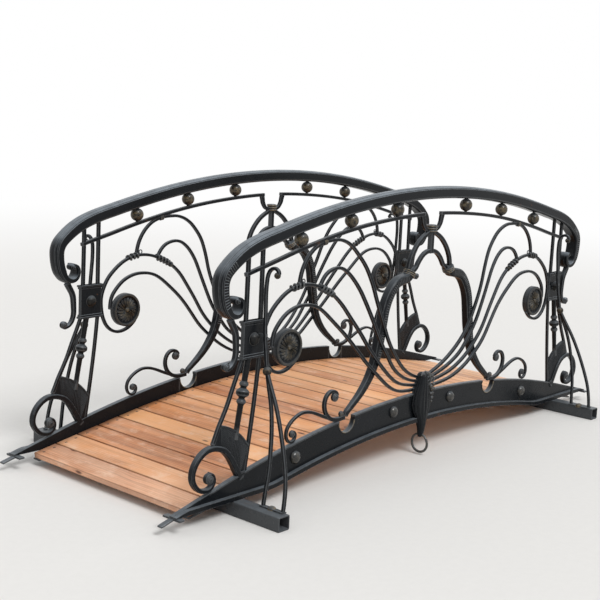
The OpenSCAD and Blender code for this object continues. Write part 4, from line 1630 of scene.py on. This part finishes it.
@dataclass
class Fan(RailingPart):
    """Four bars from the sheaf over the stem to the rosette, with wire wraps on the third."""

    half: Half = Half.RIGHT
    bar: float = 14.0
    lines: Sequence[Stations] = (
        ((-12, 297, 15), (60, 318, 18), (284, 480, 50), (384, 652, 63), (468, 842, 61), (549, 938, 43), (649, 988, 10),
         (699, 990, 0), (783, 977, -18), (856, 926, -50), (898, 822, -86)),
        ((-12, 282, 10), (60, 296, 12), (238, 372, 35), (345, 488, 51), (443, 645, 60), (562, 820, 45),
         (662, 871, 0), (743, 841, -45), (768, 806, -60)),
        ((-12, 268, 6), (60, 276, 8), (253, 334, 31), (412, 464, 45), (537, 614, 49), (662, 745, 37), (781, 804, 19),
         (874, 819, 0), (1006, 776, -36), (1074, 707, -60), (1100, 619, -92), (1077, 526, -119), (993, 474, -180),
         (900, 519, -230)),
        ((-12, 256, 0), (60, 256, 0), (261, 295, 26), (424, 408, 39), (562, 545, 46), (724, 683, 37), (806, 726, 15),
         (874, 734, 0), (949, 719, -22), (1027, 657, -52), (1047, 582, -93)),
    )
    starts: ClassVar[dict[Half, float]] = {Half.RIGHT: 6.0, Half.LEFT: 47.0}
    over: float = 28.0
    over_flat: float = 22.0
    over_run: float = 330.0
    over_start: float = 95.0
    wire_off: float = 0.6
    wire: float = 9.0
    wire_pitch: float = 21.0
    wire_steps: int = 20
    wraps: Outline = ((826, 914), (1020, 1088))
    eye_at: float = 1014.0
    eye: float = 9.0
    eye_wire: float = 5.0
    wrap_collar_at: float = 815.0
    wrap_collar: Three = (26, 12, 0.4)
    bar_collar_at: Station = (752, 985, -8)
    bar_collar: Three = (26, 20, 0.8)
    node: ClassVar[str] = "fan"
    piece: ClassVar[str] = "fan_bars"

    def coil(self, made: Shape, line: MiddleLine, start: float, end: float) -> None:
        """Winds wire round a bar in open turns.

        Args:
            made: Shape to add to.
            line: Middle line of the bar.
            start: Distance at which the wire begins.
            end: Distance at which it ends.
        """
        reach = (self.bar + self.wire) / 2 + self.wire_off
        steps = int((end - start) / self.wire_pitch * self.wire_steps)
        middles = [line.at(start + (end - start) * i / steps) for i in range(steps + 1)]
        turns = swing(0.0, 2 * math.pi * steps / self.wire_steps, steps)
        places = [Vector(beside(middle, reach * c, reach * s)) for middle, (c, s) in zip(middles, turns)]
        rings = []
        for i, p in enumerate(places):
            way = (places[min(i + 1, steps)] - places[max(i - 1, 0)]).normalized()
            side = (p - Vector(beside(middles[i], 0.0))).normalized()
            up = way.cross(side)
            rings.append([tuple(p + side * n + up * e) for n, e in round_section(self.wire, 10)])
        made.skin(rings, 0.05)

    def lay_over(self, p: Point, stem: Outline) -> Point:
        """Moves a corner of a bar outwards where the bar crosses the stem.

        Args:
            p: The corner.
            stem: Places along the stem's middle line.

        Returns:
            The corner's new place.
        """
        gap = min(math.hypot(p[0] - x, p[2] - z) for x, z in stem) - self.over_flat
        return (p[0], p[1] + self.over * ease(1 - within(gap / self.over_run)), p[2])

    def shape(self) -> Shape:
        """The four bars with wraps, eye ring and collars.

        Returns:
            The shape.
        """
        made = Shape()
        section = box_section(self.bar, self.bar, 2.4)
        middle = MiddleLine(STEM_LINE)
        stem = [middle.at(s)[:2] for s in middle.distances(10.0) if s > self.over_start]
        bars = Shape()
        for line in self.lines:
            bars.bar(MiddleLine(line), section, start=self.starts[self.half])
        made.absorb(bars, lambda p: self.lay_over(p, stem))
        wrapped = MiddleLine(self.lines[2][1:])
        for start, end in self.wraps:
            self.coil(made, wrapped, start, end)
        x, _, z = beside(wrapped.at(self.eye_at), self.bar)
        made.skin([[(x + (self.eye + n) * c, d, z + (self.eye + n) * s) for n, d in round_section(self.eye_wire, 10)]
                   for c, s in circle(24)], loop=True)
        made.collar(self.bar_collar_at, *self.bar_collar)
        x, z, h = wrapped.at(self.wrap_collar_at)
        made.collar((x, z, math.degrees(h)), *self.wrap_collar)
        if self.half is Half.LEFT:
            return Shape().absorb(made, lambda p: (-p[0], p[1], p[2]))
        return made

    def build(self, shop: Workshop) -> None:
        """Makes the fan of one half.

        Args:
            shop: The workshop.
        """
        name = f"{self.side.value}_{self.half.value}_fan"
        shop.hang(self.shape(), f"{name}_bars", self.side, self.finish, name)


@dataclass
class Rosettes(RailingPart):
    """Flower discs in the eyes of the fans, alike on both faces."""

    x: float = 957.0
    z: float = 572.0
    radius: float = 76.0
    half_t: float = 18.0
    disc: float = 8.0
    rim: float = 14.0
    petals: int = 18
    petal_line: Sequence[Four] = (
        (9, 1.3, 5, 0), (17, 2.6, 8, 2), (27, 4.3, 10, 5), (38, 6, 9.6, 9), (47, 7.2, 7.6, 13),
        (53, 6.4, 5.2, 16), (57, 2.4, 1.8, 17))
    pleat: Outline = ((-1, 0), (-0.85, 0.55), (-0.45, 1), (0, 0.7), (0.45, 1), (0.85, 0.55), (1, 0))
    boss: Outline = ((12.5, -2), (12.5, 3), (10, 7), (8.5, 9), (6, 11), (3.5, 11.6), (2, 10.8), (0, 10.4))
    petal_brass: Flat = (0.42, 4.0)
    rim_brass: Flat = (0.12, 7.0)
    node: ClassVar[str] = "rosettes"
    piece: ClassVar[str] = "flower_discs"
    finish: ClassVar[Finish] = Finish.CAST

    def petal(self, made: Shape, angle: float, face: int) -> None:
        """Adds one pleated petal that turns a little on its way out.

        Args:
            made: Shape to add to.
            angle: Where it begins.
            face: 1 for the outer face and -1 for the inner one.
        """
        rings = []
        for reach, wide, high, turn in self.petal_line:
            a = angle + math.radians(turn)
            c, s = math.cos(a), math.sin(a)
            rings.append([(self.x + reach * c - v * wide * s, face * (self.disc - 1 + lift * high),
                           self.z + reach * s + v * wide * c) for v, lift in self.pleat])
        made.skin(rings)

    def brass(self, p: Point) -> float:
        """Share of brass at a corner, which grows with its height over the disc.

        Args:
            p: The corner.

        Returns:
            The share.
        """
        on_rim = math.hypot(p[0] - self.x, p[2] - self.z) > self.radius - self.rim
        most, start = self.rim_brass if on_rim else self.petal_brass
        return most * within((abs(p[1]) - self.disc - start) / 3.0)

    def shape(self) -> Shape:
        """Rim, disc, petals and boss.

        Returns:
            The shape.
        """
        half = Shape()
        r, t, q = self.radius, self.half_t, self.disc
        w = r - self.rim
        profile = [(0.0, -q), (w - 1, -q), (w + 1, -q - 1), (w + 3, -t + 1), (w + 5, -t), (r - 5, -t),
                   (r - 1.5, -t + 1.5), (r, -t + 5), (r - 1.2, -t + 7), (r, -t + 9)]
        centre, axis = (self.x, 0, self.z), (0, 1, 0)
        half.turned(profile + [(a, -b) for a, b in reversed(profile)], centre, axis, around=72)
        for face in (-1, 1):
            for i in range(self.petals):
                self.petal(half, 2 * math.pi * i / self.petals, face)
            half.turned([(a, face * (q + b)) for a, b in self.boss], centre, axis, around=32)
        half.tint(self.brass)
        return half.with_mirror()


@dataclass
class Posts(RailingPart):
    """Two square posts at each end, from the handrail down to the plate."""

    bar: float = 15.0
    inner: Stations = ((1120, 1010, -90), (1120, 632, -90))
    outer: Stations = ((1199, 990, -90), (1203, 632, -89))
    node: ClassVar[str] = "posts"
    piece: ClassVar[str] = "square_posts"

    def shape(self) -> Shape:
        """Both posts of each end.

        Returns:
            The shape.
        """
        half = Shape()
        for line in (self.inner, self.outer):
            half.bar(MiddleLine(line), box_section(self.bar, self.bar, 2.2))
        return half.with_mirror()


@dataclass
class PostPlates(RailingPart):
    """Moulded plate with a domed rivet, where the posts join."""

    x0: float = 1104.5
    x1: float = 1218.5
    z0: float = 557.0
    z1: float = 707.0
    half_t: float = 9.0
    steps: Outline = ((18, 3), (9, 6))
    rivet: float = 25.0
    rivet_rise: float = 19.5
    rivet_flat: float = 1.4
    node: ClassVar[str] = "post_plates"
    piece: ClassVar[str] = "moulded_plates"

    def shape(self) -> Shape:
        """Plate, its mouldings and its rivet.

        Returns:
            The shape.
        """
        half = Shape()
        half.slab(rectangle(self.x0, self.z0, self.x1, self.z1), -self.half_t, self.half_t, 1.4, margin=3.0)
        for height, out in self.steps:
            for z in (self.z0, self.z1 - height):
                reach = self.half_t + out
                half.slab(rectangle(self.x0 - out, z, self.x1 + out, z + height), -reach, reach, 1.8, 0.0, 1.5)
        x, z = (self.x0 + self.x1) / 2, (self.z0 + self.z1) / 2
        r = self.rivet
        washer = [(r + 1.6, -2.0), (r + 1.6, 0.6), (r + 0.4, self.rivet_flat)]
        profile = washer + [(a, b + self.rivet_flat) for a, b in dome(r, self.rivet_rise)]
        for face in (-1, 1):
            half.turned(profile, (x, face * (self.half_t - 0.4), z), (0, face, 0), 0.08, 36)
        return half.with_mirror()


INNER_LEG: Stations = ((1118, 567, -85), (1146, 320, -82), (1186, 60, -81))
OUTER_LEG: Stations = ((1211, 567, -70), (1274, 418, -68), (1320, 326, -60), (1362, 240, -62))


@dataclass
class PostLegs(RailingPart):
    """Three bars below each plate, the middle one turned."""

    bar: float = 14.0
    top: Flat = (1179.5, 567.0)
    foot: Flat = (1238.0, 240.0)
    knob: Outline = (
        (14, 0), (12.5, 0.05), (12, 0.3), (15.5, 0.312), (18.5, 0.325), (18.5, 0.345), (15.5, 0.358),
        (12.5, 0.37), (13, 0.385), (20, 0.4), (25, 0.415), (26.5, 0.43), (26.5, 0.45), (25, 0.465),
        (20, 0.48), (13, 0.495), (12.5, 0.51), (16, 0.522), (19, 0.535), (19, 0.555), (15.5, 0.57),
        (12, 0.585), (11, 0.8), (12, 1),
    )
    node: ClassVar[str] = "post_legs"
    piece: ClassVar[str] = "legs"

    def shape(self) -> Shape:
        """The two square bars and the turned one.

        Returns:
            The shape.
        """
        half = Shape()
        for line in (INNER_LEG, OUTER_LEG):
            half.bar(MiddleLine(line), box_section(self.bar, self.bar, 2.4))
        run = math.dist(self.top, self.foot)
        axis = (self.foot[0] - self.top[0], 0, self.foot[1] - self.top[1])
        half.turned([(r, f * run) for r, f in self.knob], (self.top[0], 0, self.top[1]), axis, 0.03, 28)
        return half.with_mirror()


@dataclass
class FootScrolls(RailingPart):
    """Scroll at the foot of the posts."""

    line: Stations = (
        (1204, 78, 52), (1262, 168, 55), (1320, 218, 20), (1372, 228, -2), (1436, 198, -45), (1464, 138, -88),
        (1440, 86, -135), (1390, 66, -180), (1352, 98, -265), (1372, 128, -350),
    )
    width: float = 26.0
    depth: float = 30.0
    eye: float = 44.0
    node: ClassVar[str] = "foot_scrolls"
    piece: ClassVar[str] = "scrolls_at_foot"

    def shape(self) -> Shape:
        """Tapered scroll with its rolled end.

        Returns:
            The shape.
        """
        half = Shape()
        section = moulded_section(self.width, self.depth, 3.6)
        Scroll(self.line, section, (0.6, 0.86), -1, self.eye, self.depth * 1.25).add_to(half)
        return half.with_mirror()


@dataclass
class FootLeaves(RailingPart):
    """Half leaf in the corner of the foot, with fine ribs and a notched rim along its rounded edge."""

    foot: Flat = (1190, 84)
    heart: Flat = (1212, 90)
    outer: Stations = ((1167, 203, 53), (1226, 264, 38), (1324, 309, 10))
    under: Outline = ((1356, 236), (1320, 218), (1288, 198), (1262, 168))
    half_t: float = 6.0
    rim: float = 8.0
    rim_out: float = 3.0
    notches: int = 22
    notch: Flat = (4.0, 6.8)
    ribs: int = 24
    rib_line: Sequence[Three] = (
        (0.08, 0.7, 0.2), (0.3, 1.4, 1.7), (0.65, 2.4, 2.6), (0.9, 3, 2.8), (0.965, 2, 1.4))
    turn_share: float = 0.3
    tongue: Outline = ((1186, 108), (1190, 88), (1198, 72), (1206, 88), (1212, 108))
    node: ClassVar[str] = "foot_leaves"
    piece: ClassVar[str] = "ribbed_leaves"
    finish: ClassVar[Finish] = Finish.CAST

    def root(self, share: float) -> Flat:
        """Where a rib begins on the leaf's lower edge.

        Args:
            share: Share of the rim, from the foot outwards, at which it ends.

        Returns:
            x and z.
        """
        along = max(0.0, (share - self.turn_share) / (1 - self.turn_share)) * 3
        path = [self.heart, *reversed(self.under[1:])]
        k = min(int(along), 2)
        return blend(path[k], path[k + 1], along - k)

    def rib(self, made: Shape, root: Flat, tip: Flat, face: int) -> None:
        """Adds one rib that runs from the lower edge to the rim.

        Args:
            made: Shape to add to.
            root: Where it begins.
            tip: Where it meets the rim.
            face: 1 for the outer face and -1 for the inner one.
        """
        ox, oz = root
        reach = math.dist(tip, root)
        c, s = (tip[0] - ox) / reach, (tip[1] - oz) / reach
        rings = []
        for g, w, h in self.rib_line:
            u = reach * g
            rings.append([(ox + u * c - v * s, face * (self.half_t - 0.6 + lift), oz + u * s + v * c)
                          for v, lift in ((-w, 0.0), (-w * 0.55, h * 0.75), (0, h), (w * 0.55, h * 0.75), (w, 0.0))])
        made.skin(rings)

    def shape(self) -> Shape:
        """Leaf, rim, ribs and the tip that laps over the plate.

        Returns:
            The shape.
        """
        half = Shape()
        line = MiddleLine(self.outer)
        edge = [line.at(s)[:2] for s in line.distances(6.0)]
        outline = [self.foot, *edge, *self.under, self.heart][::-1]
        half.slab(outline, -self.half_t, self.half_t, 1.0, margin=2.0)
        reach = self.half_t + self.rim_out
        half.bar(line, box_section(self.rim, 2 * reach, 2.4), step=6.0)
        a, b = self.notch[0] / 2, self.notch[1] / 2
        for i in range(self.notches):
            place = line.at(line.length * (i + 0.5) / self.notches)
            half.slab(tilted(rectangle(-a, -b, a, b), *place), -reach - 1.0, reach + 1.0, 0.9)
        for i in range(self.ribs):
            share = (i + 0.5) / self.ribs
            for face in (-1, 1):
                self.rib(half, self.root(share), line.at(line.length * share)[:2], face)
        half.slab(self.tongue, 9.0, 14.0, 1.6)
        return half.with_mirror()


@dataclass
class StringerScrolls(RailingPart):
    """Scrolls that run along the top of the stringer."""

    scrolls: Sequence[Scroll] = (
        Scroll(((566, 212, 0), (617, 210, 5), (674, 230, 38), (704, 292, 92), (660, 341, 178), (622, 318, 250)),
               box_section(20, 16, 3.2, 3), (0.7, 1.0), 1, 40, 26),
        Scroll(((620, 209, 15), (737, 252, 24), (831, 279, 3), (896, 262, -28), (940, 202, -92), (908, 166, -180),
                (884, 190, -270), (904, 210, -360)), box_section(16, 14, 2.8, 3), (0.62, 1), -1, 30, 22),
        Scroll(((645, 217, 200), (602, 208, 180), (580, 230, 90)), box_section(15, 15, 2.8, 3), (0.7, 0.9), -1, 26,
               20, 0.12, (0.9, 0.9)),
    )
    node: ClassVar[str] = "stringer_scrolls"
    piece: ClassVar[str] = "scrolls_along_stringer"

    def shape(self) -> Shape:
        """Two scrolls of each half and the small curl at the notch, with their rolled ends.

        Returns:
            The shape.
        """
        half = Shape()
        for scroll in self.scrolls:
            scroll.add_to(half)
        return half.with_mirror()


@dataclass
class Braces(RailingPart):
    """Forked bar outside each end, drawn in two planes that lean towards the middle."""

    bar: float = 14.0
    top_x: float = 1124.0
    neck_x: float = 1139.0
    foot_x: float = 1212.0
    top_z: float = 890.0
    neck: Flat = (65.0, 516.0)
    hook: Stations = ((92, 893, 90), (70, 914, 180), (33, 870, 265), (38, 700, 273), (65, 508, 280))
    legs: Sequence[Stations] = (
        ((65, 516, -72), (122, 340, -78), (142, 180, -86), (140, 0, -90)),
        ((65, 516, -62), (158, 345, -66), (225, 160, -74), (243, 0, -92)),
    )
    hook_ball: Three = (84, 888, 13)
    neck_ball: float = 18.0
    arm: Four = (0, 640, 50, 654)
    plate: Four = (131, 0, 250, 5)
    cap_at: float = 186.0
    cap: Flat = (19.0, 17.1)
    cap_sunk: float = 3.0
    node: ClassVar[str] = "braces"
    piece: ClassVar[str] = "forked_braces"

    @staticmethod
    def lean(x0: float, z0: float, x1: float, z1: float) -> Placing:
        """Turns a drawing of x outwards, d along the bridge and z up by its lean.

        Args:
            x0: Place along the railing of the drawing's lower end.
            z0: Height of that end.
            x1: Place of the upper end.
            z1: Height of the upper end.

        Returns:
            Function that places a corner.
        """
        angle = math.atan((x0 - x1) / (z1 - z0))
        c, s = math.cos(angle), math.sin(angle)
        return lambda p: (x0 - p[1] * c - (p[2] - z0) * s, p[0], z0 - p[1] * s + (p[2] - z0) * c)

    def shape(self) -> Shape:
        """Upper bar with its hook, the fork below it, the neck ball, the foot plate and its dome.

        Returns:
            The shape.
        """
        section = box_section(self.bar, self.bar, 3.2)
        upper, lower = Shape(), Shape()
        upper.bar(MiddleLine(self.hook), section)
        upper.ball(*self.hook_ball, gilt=0.3)
        upper.slab(rectangle(*self.arm), -self.bar / 2, self.bar / 2, 1.6)
        for leg in self.legs:
            lower.bar(MiddleLine(leg), section)
        lower.slab(rectangle(*self.plate), -self.bar, self.bar, 1.2)
        nx, nz = self.neck
        lower.ball(nx, nz, self.neck_ball, gilt=0.45)
        lower.turned(dome(*self.cap), (self.cap_at, 0, -self.cap_sunk), (0, 0, 1), 0.95, 32)
        half = Shape()
        half.absorb(upper, self.lean(self.neck_x, nz, self.top_x, self.top_z))
        half.absorb(lower, self.lean(self.foot_x, 0, self.neck_x, nz))
        return half.with_mirror()


@dataclass
class Rivets(RailingPart):
    """Domed rivets on the outer face of the stringer."""

    spots: Outline = ((225, 177), (888, 100))
    radius: float = 29.0
    out: float = 20.0
    node: ClassVar[str] = "rivets"
    piece: ClassVar[str] = "domed_rivets"
    finish: ClassVar[Finish] = Finish.DOME

    def shape(self) -> Shape:
        """The domes.

        Returns:
            The shape.
        """
        half = Shape()
        reach = math.sqrt(self.radius ** 2 - (self.radius - self.out) ** 2)
        profile = [(reach, -1.0), *dome(reach, self.out, 10)]
        for x, z in self.spots:
            half.turned(profile, (x, Stringer.half_t, z), (0, 1, 0), 0.25, 36)
        return half.with_mirror()


@dataclass
class Anchors(RailingPart):
    """Strip across under each tip, and the flat lug that runs on from it."""

    thickness: float = 8.0
    strip: float = 26.0
    strip_out: float = 48.0
    lug: Outline = ((0, -8), (72, -8), (74, -6), (74, -2), (72, 0), (0, 0))
    lug_in: float = 13.0
    lug_out: float = 12.0
    lug_turn: float = math.radians(-14)
    node: ClassVar[str] = "anchors"
    piece: ClassVar[str] = "tip_anchors"
    finish: ClassVar[Finish] = Finish.SLEEPER

    def shape(self) -> Shape:
        """Strip and lug.

        Returns:
            The shape.
        """
        half, tip = Shape(), Stringer.tip_x
        half.slab(rectangle(tip - self.strip, -self.thickness, tip, 0), -self.strip_out, self.strip_out, 1.4)
        half.slab(tilted(self.lug, tip - self.lug_in, 0, self.lug_turn), -self.lug_out, self.lug_out, 1.4)
        return half.with_mirror()


@dataclass
class Sheaf(RailingPart):
    """Fluted leaf that gathers the bars and hangs over the stringer, with a vine of berries beside it."""

    x: float = -20.0
    top: float = 238.0
    under: float = -138.0
    sections: Sequence[tuple[float, ...]] = (
        (98, 7, 7, 7, 17), (94, 16, 14, 18, 17), (84, 24, 18, 27, 17), (64, 32, 21, 31, 17), (41, 41, 23, 36, 17),
        (20, 52, 24, 38, 17), (-4, 62, 25, 38, 17), (-28, 68, 26, 38, 17), (-50, 70, 26, 38, 17),
        (-76, 63, 25, 38, 18), (-102, 50, 23, 36, 20), (-127, 36, 21, 30, 23), (-154, 26, 18, 20, 25),
        (-180, 20, 15, 16, 25), (-200, 16, 13, 13, 23), (-210, 11, 9, 9, 22), (-214, 5, 4, 4, 22),
    )
    around: int = 168
    flutes: int = 14
    depth: float = 0.1125
    back: float = 14.5
    cap: Four = (-27, 24, 322, 13)
    rods: Sequence[Sequence[Point]] = (
        ((-44, 26, 322), (-38, 27, 334), (-24, 28, 340), (0, 28, 333), (20, 28, 318), (33, 27, 300), (36, 27, 284),
         (29, 28, 276), (20, 29, 279)),
        ((-20, 30, 340), (10, 29, 331), (36, 28, 318), (56, 27, 300), (62, 26, 286), (54, 27, 279), (46, 28, 284)),
    )
    rod: float = 8.0
    berries: Sequence[Four] = (
        (27, 30, 262, 9), (52, 26, 266, 8), (38, 28, 246, 9), (58, 25, 247, 7), (24, 33, 226, 9), (44, 28, 226, 8),
        (33, 31, 206, 8), (48, 26, 206, 6), (38, 28, 189, 6),
    )
    node: ClassVar[str] = "sheaf"
    piece: ClassVar[str] = "fluted_sheaf"
    finish: ClassVar[Finish] = Finish.CAST

    def between(self, f: float) -> list[float]:
        """Smooth section between the given ones.

        Args:
            f: Number of a section, with a fraction.

        Returns:
            Its five numbers.
        """
        k = min(int(f), len(self.sections) - 2)
        t = f - k
        p = [self.sections[min(max(k + i, 0), len(self.sections) - 1)] for i in (-1, 0, 1, 2)]
        return [0.5 * (2 * b + (c - a) * t + (2 * a - 5 * b + 4 * c - d) * t * t + (3 * b - a - 3 * c + d) * t ** 3)
                for a, b, c, d in zip(*p)]

    def leaf(self, made: Shape) -> None:
        """Adds the fluted leaf, flat against the plate where it lies on it.

        Args:
            made: Shape to add to.
        """
        rings = []
        for i in range(4 * len(self.sections) - 3):
            z, w, out, back, middle = self.between(i / 4)
            ring = []
            for k in range(self.around):
                a = 2 * math.pi * k / self.around
                groove = abs(math.cos(a * self.flutes / 2)) ** 0.6
                flute = 1 - self.depth * (1 - groove)
                d = middle + (out if math.sin(a) > 0 else back) * math.sin(a) * flute
                low = self.back if self.under < z < 0 else -back
                ring.append((self.x + w * math.cos(a) * flute, max(d, low), self.top + z))
            rings.append(ring)
        made.skin(rings)

    def vine(self, made: Shape) -> None:
        """Adds the rounded end of the stalk, the two rods that curl down beside it and their berries.

        Args:
            made: Shape to add to.
        """
        x, d, z, r = self.cap
        made.ball(x, z, r, d=d, around=24)
        section = round_section(self.rod, 10)
        for route in self.rods:
            places = [Vector(p) for p in route]
            fine = [*(a.lerp(b, i / 4) for a, b in zip(places, places[1:]) for i in range(4)), places[-1]]
            for _ in range(3):
                fine = [fine[0], *((a + b * 2 + c) / 4 for a, b, c in zip(fine, fine[1:], fine[2:])), fine[-1]]
            rings = []
            for k, p in enumerate(fine):
                way = (fine[min(k + 1, len(fine) - 1)] - fine[max(k - 1, 0)]).normalized()
                u = Vector((0, 1, 0))
                v = way.cross(u).normalized()
                slim = 1.0 - 0.35 * k / len(fine)
                rings.append([tuple(p + v * n * slim + u * e * slim) for n, e in section])
            made.skin(rings, 0.1)
        for bx, bd, bz, br in self.berries:
            made.ball(bx + 3, bz, br + 0.8, d=bd + 1, gilt=0.25, around=18)

    def build(self, shop: Workshop) -> None:
        """Makes the leaf and, in a finish of its own, the vine.

        Args:
            shop: The workshop.
        """
        prefix = self.side.value
        for piece, finish, fill in ((self.piece, self.finish, self.leaf), ("berry_vine", Finish.RUBBED, self.vine)):
            made = Shape()
            fill(made)
            shop.hang(made, f"{prefix}_{piece}", self.side, finish, f"{prefix}_{self.node}")


@dataclass
class HangingRing(RailingPart):
    """Ring that hangs from the sheaf, square to the railing."""

    x: float = -20.0
    radius: float = 43.0
    bar: float = 12.0
    z: float = -4.0
    d: float = 22.0
    node: ClassVar[str] = "ring"
    piece: ClassVar[str] = "hanging_ring"
    finish: ClassVar[Finish] = Finish.DOME

    def shape(self) -> Shape:
        """The ring.

        Returns:
            The shape.
        """
        made = Shape()
        made.skin([[(self.x + n, self.d + (self.radius + d) * c, self.z + (self.radius + d) * s)
                    for n, d in round_section(self.bar, 14)] for c, s in circle(72)], 0.2, loop=True)
        return made


# The studio


@dataclass
class Studio:
    """Pale floor, plain soft light and the camera."""

    camera_at: Point = (-4.410, -3.574, 1.622)
    yaw: float = -0.8528
    pitch: float = -0.1704
    roll: float = -0.0461
    lens: float = 70.43
    floor_radius: float = 16.0
    floor: Point = (0.80, 0.79, 0.77)
    sky: float = 0.62
    sun: float = 1.75
    sun_soft: float = math.radians(24)
    sun_turn: Point = (math.radians(37), math.radians(-6), 0.0)

    def camera(self) -> None:
        """Places the camera at the photograph's angle."""
        data = bpy.data.cameras.new("camera")
        data.lens = self.lens
        data.sensor_width = 36.0
        data.clip_end = 200.0
        made = add_object("camera", data)
        turn = (Matrix.Rotation(self.yaw, 3, "Z") @ Matrix.Rotation(self.pitch, 3, "X")
                @ Matrix.Rotation(self.roll, 3, "Y"))
        x, ahead, up = turn.col[0], turn.col[1], turn.col[2]
        look = Matrix((x, up, -ahead)).transposed().to_4x4()
        made.matrix_world = Matrix.Translation(self.camera_at) @ look
        bpy.context.scene.camera = made

    def ground(self) -> None:
        """Lays the floor, which fades into the background far away."""
        mesh = bpy.data.meshes.new("studio_floor")
        work = bmesh.new()
        bmesh.ops.create_circle(work, cap_ends=True, segments=96, radius=self.floor_radius)
        work.to_mesh(mesh)
        work.free()
        made = add_object("studio_floor", mesh)
        material = bpy.data.materials.new("pale_floor")
        t = fresh_tree(material)
        place = t.place()
        far = t.node("ShaderNodeVectorMath", {0: place}, operation="LENGTH").outputs["Value"]
        seen = t.times(t.fit(far, 3.5, 12.0), t.node("ShaderNodeLightPath").outputs["Is Camera Ray"])
        speckle = t.fit(t.noise(place, 30.0, 3.0), 0.3, 0.7)
        colour = t.mix(speckle, self.floor, tuple(c * 0.985 for c in self.floor))
        matt = t.node("ShaderNodeBsdfPrincipled", {"Base Color": colour, "Roughness": 0.85,
                                                   "Specular IOR Level": 0.15}).outputs[0]
        white = t.node("ShaderNodeEmission", {"Color": (1, 1, 1, 1), "Strength": 1.0}).outputs[0]
        both = t.node("ShaderNodeMixShader", {0: seen, 1: matt, 2: white}).outputs[0]
        t.node("ShaderNodeOutputMaterial", {"Surface": both})
        mesh.materials.append(material)

    def light(self) -> None:
        """Sets the world and one soft lamp."""
        world = bpy.data.worlds.new("studio")
        bpy.context.scene.world = world
        t = fresh_tree(world)
        path = t.node("ShaderNodeLightPath")
        plain = t.math("MAXIMUM", t.math("MAXIMUM", path.outputs["Is Camera Ray"], path.outputs["Is Glossy Ray"]),
                       path.outputs["Is Transmission Ray"])
        strength = t.plus(self.sky, t.times(plain, 1.0 - self.sky))
        back = t.node("ShaderNodeBackground", {"Color": (1, 1, 1, 1), "Strength": strength}).outputs[0]
        t.node("ShaderNodeOutputWorld", {"Surface": back})
        lamp = bpy.data.lights.new("soft_sun", "SUN")
        lamp.energy = self.sun
        lamp.angle = self.sun_soft
        add_object("soft_sun", lamp).rotation_euler = Euler(self.sun_turn)

    def build(self) -> None:
        """Sets everything up."""
        bpy.context.scene.view_settings.view_transform = "Standard"
        self.camera()
        self.ground()
        self.light()


RAILING: Sequence[type[RailingPart]] = (
    Stringer, Handrail, LowerRail, RailBalls, Stems, Rosettes, Posts, PostPlates, PostLegs, FootScrolls, FootLeaves,
    StringerScrolls, Braces, Rivets, Anchors, Sheaf, HangingRing,
)


def main() -> None:
    """Builds the bridge around the frame, piece by piece."""
    logging.basicConfig(level=logging.INFO, format="%(name)s %(message)s")
    Studio().build()
    shop = Workshop()
    Deck().build(shop)
    for half in Half:
        Sleeper(half).build(shop)
    for side in Side:
        for part in RAILING:
            part(side).build(shop)
        for half in Half:
            Fan(side, half).build(shop)


if __name__ == "__main__":
    main()
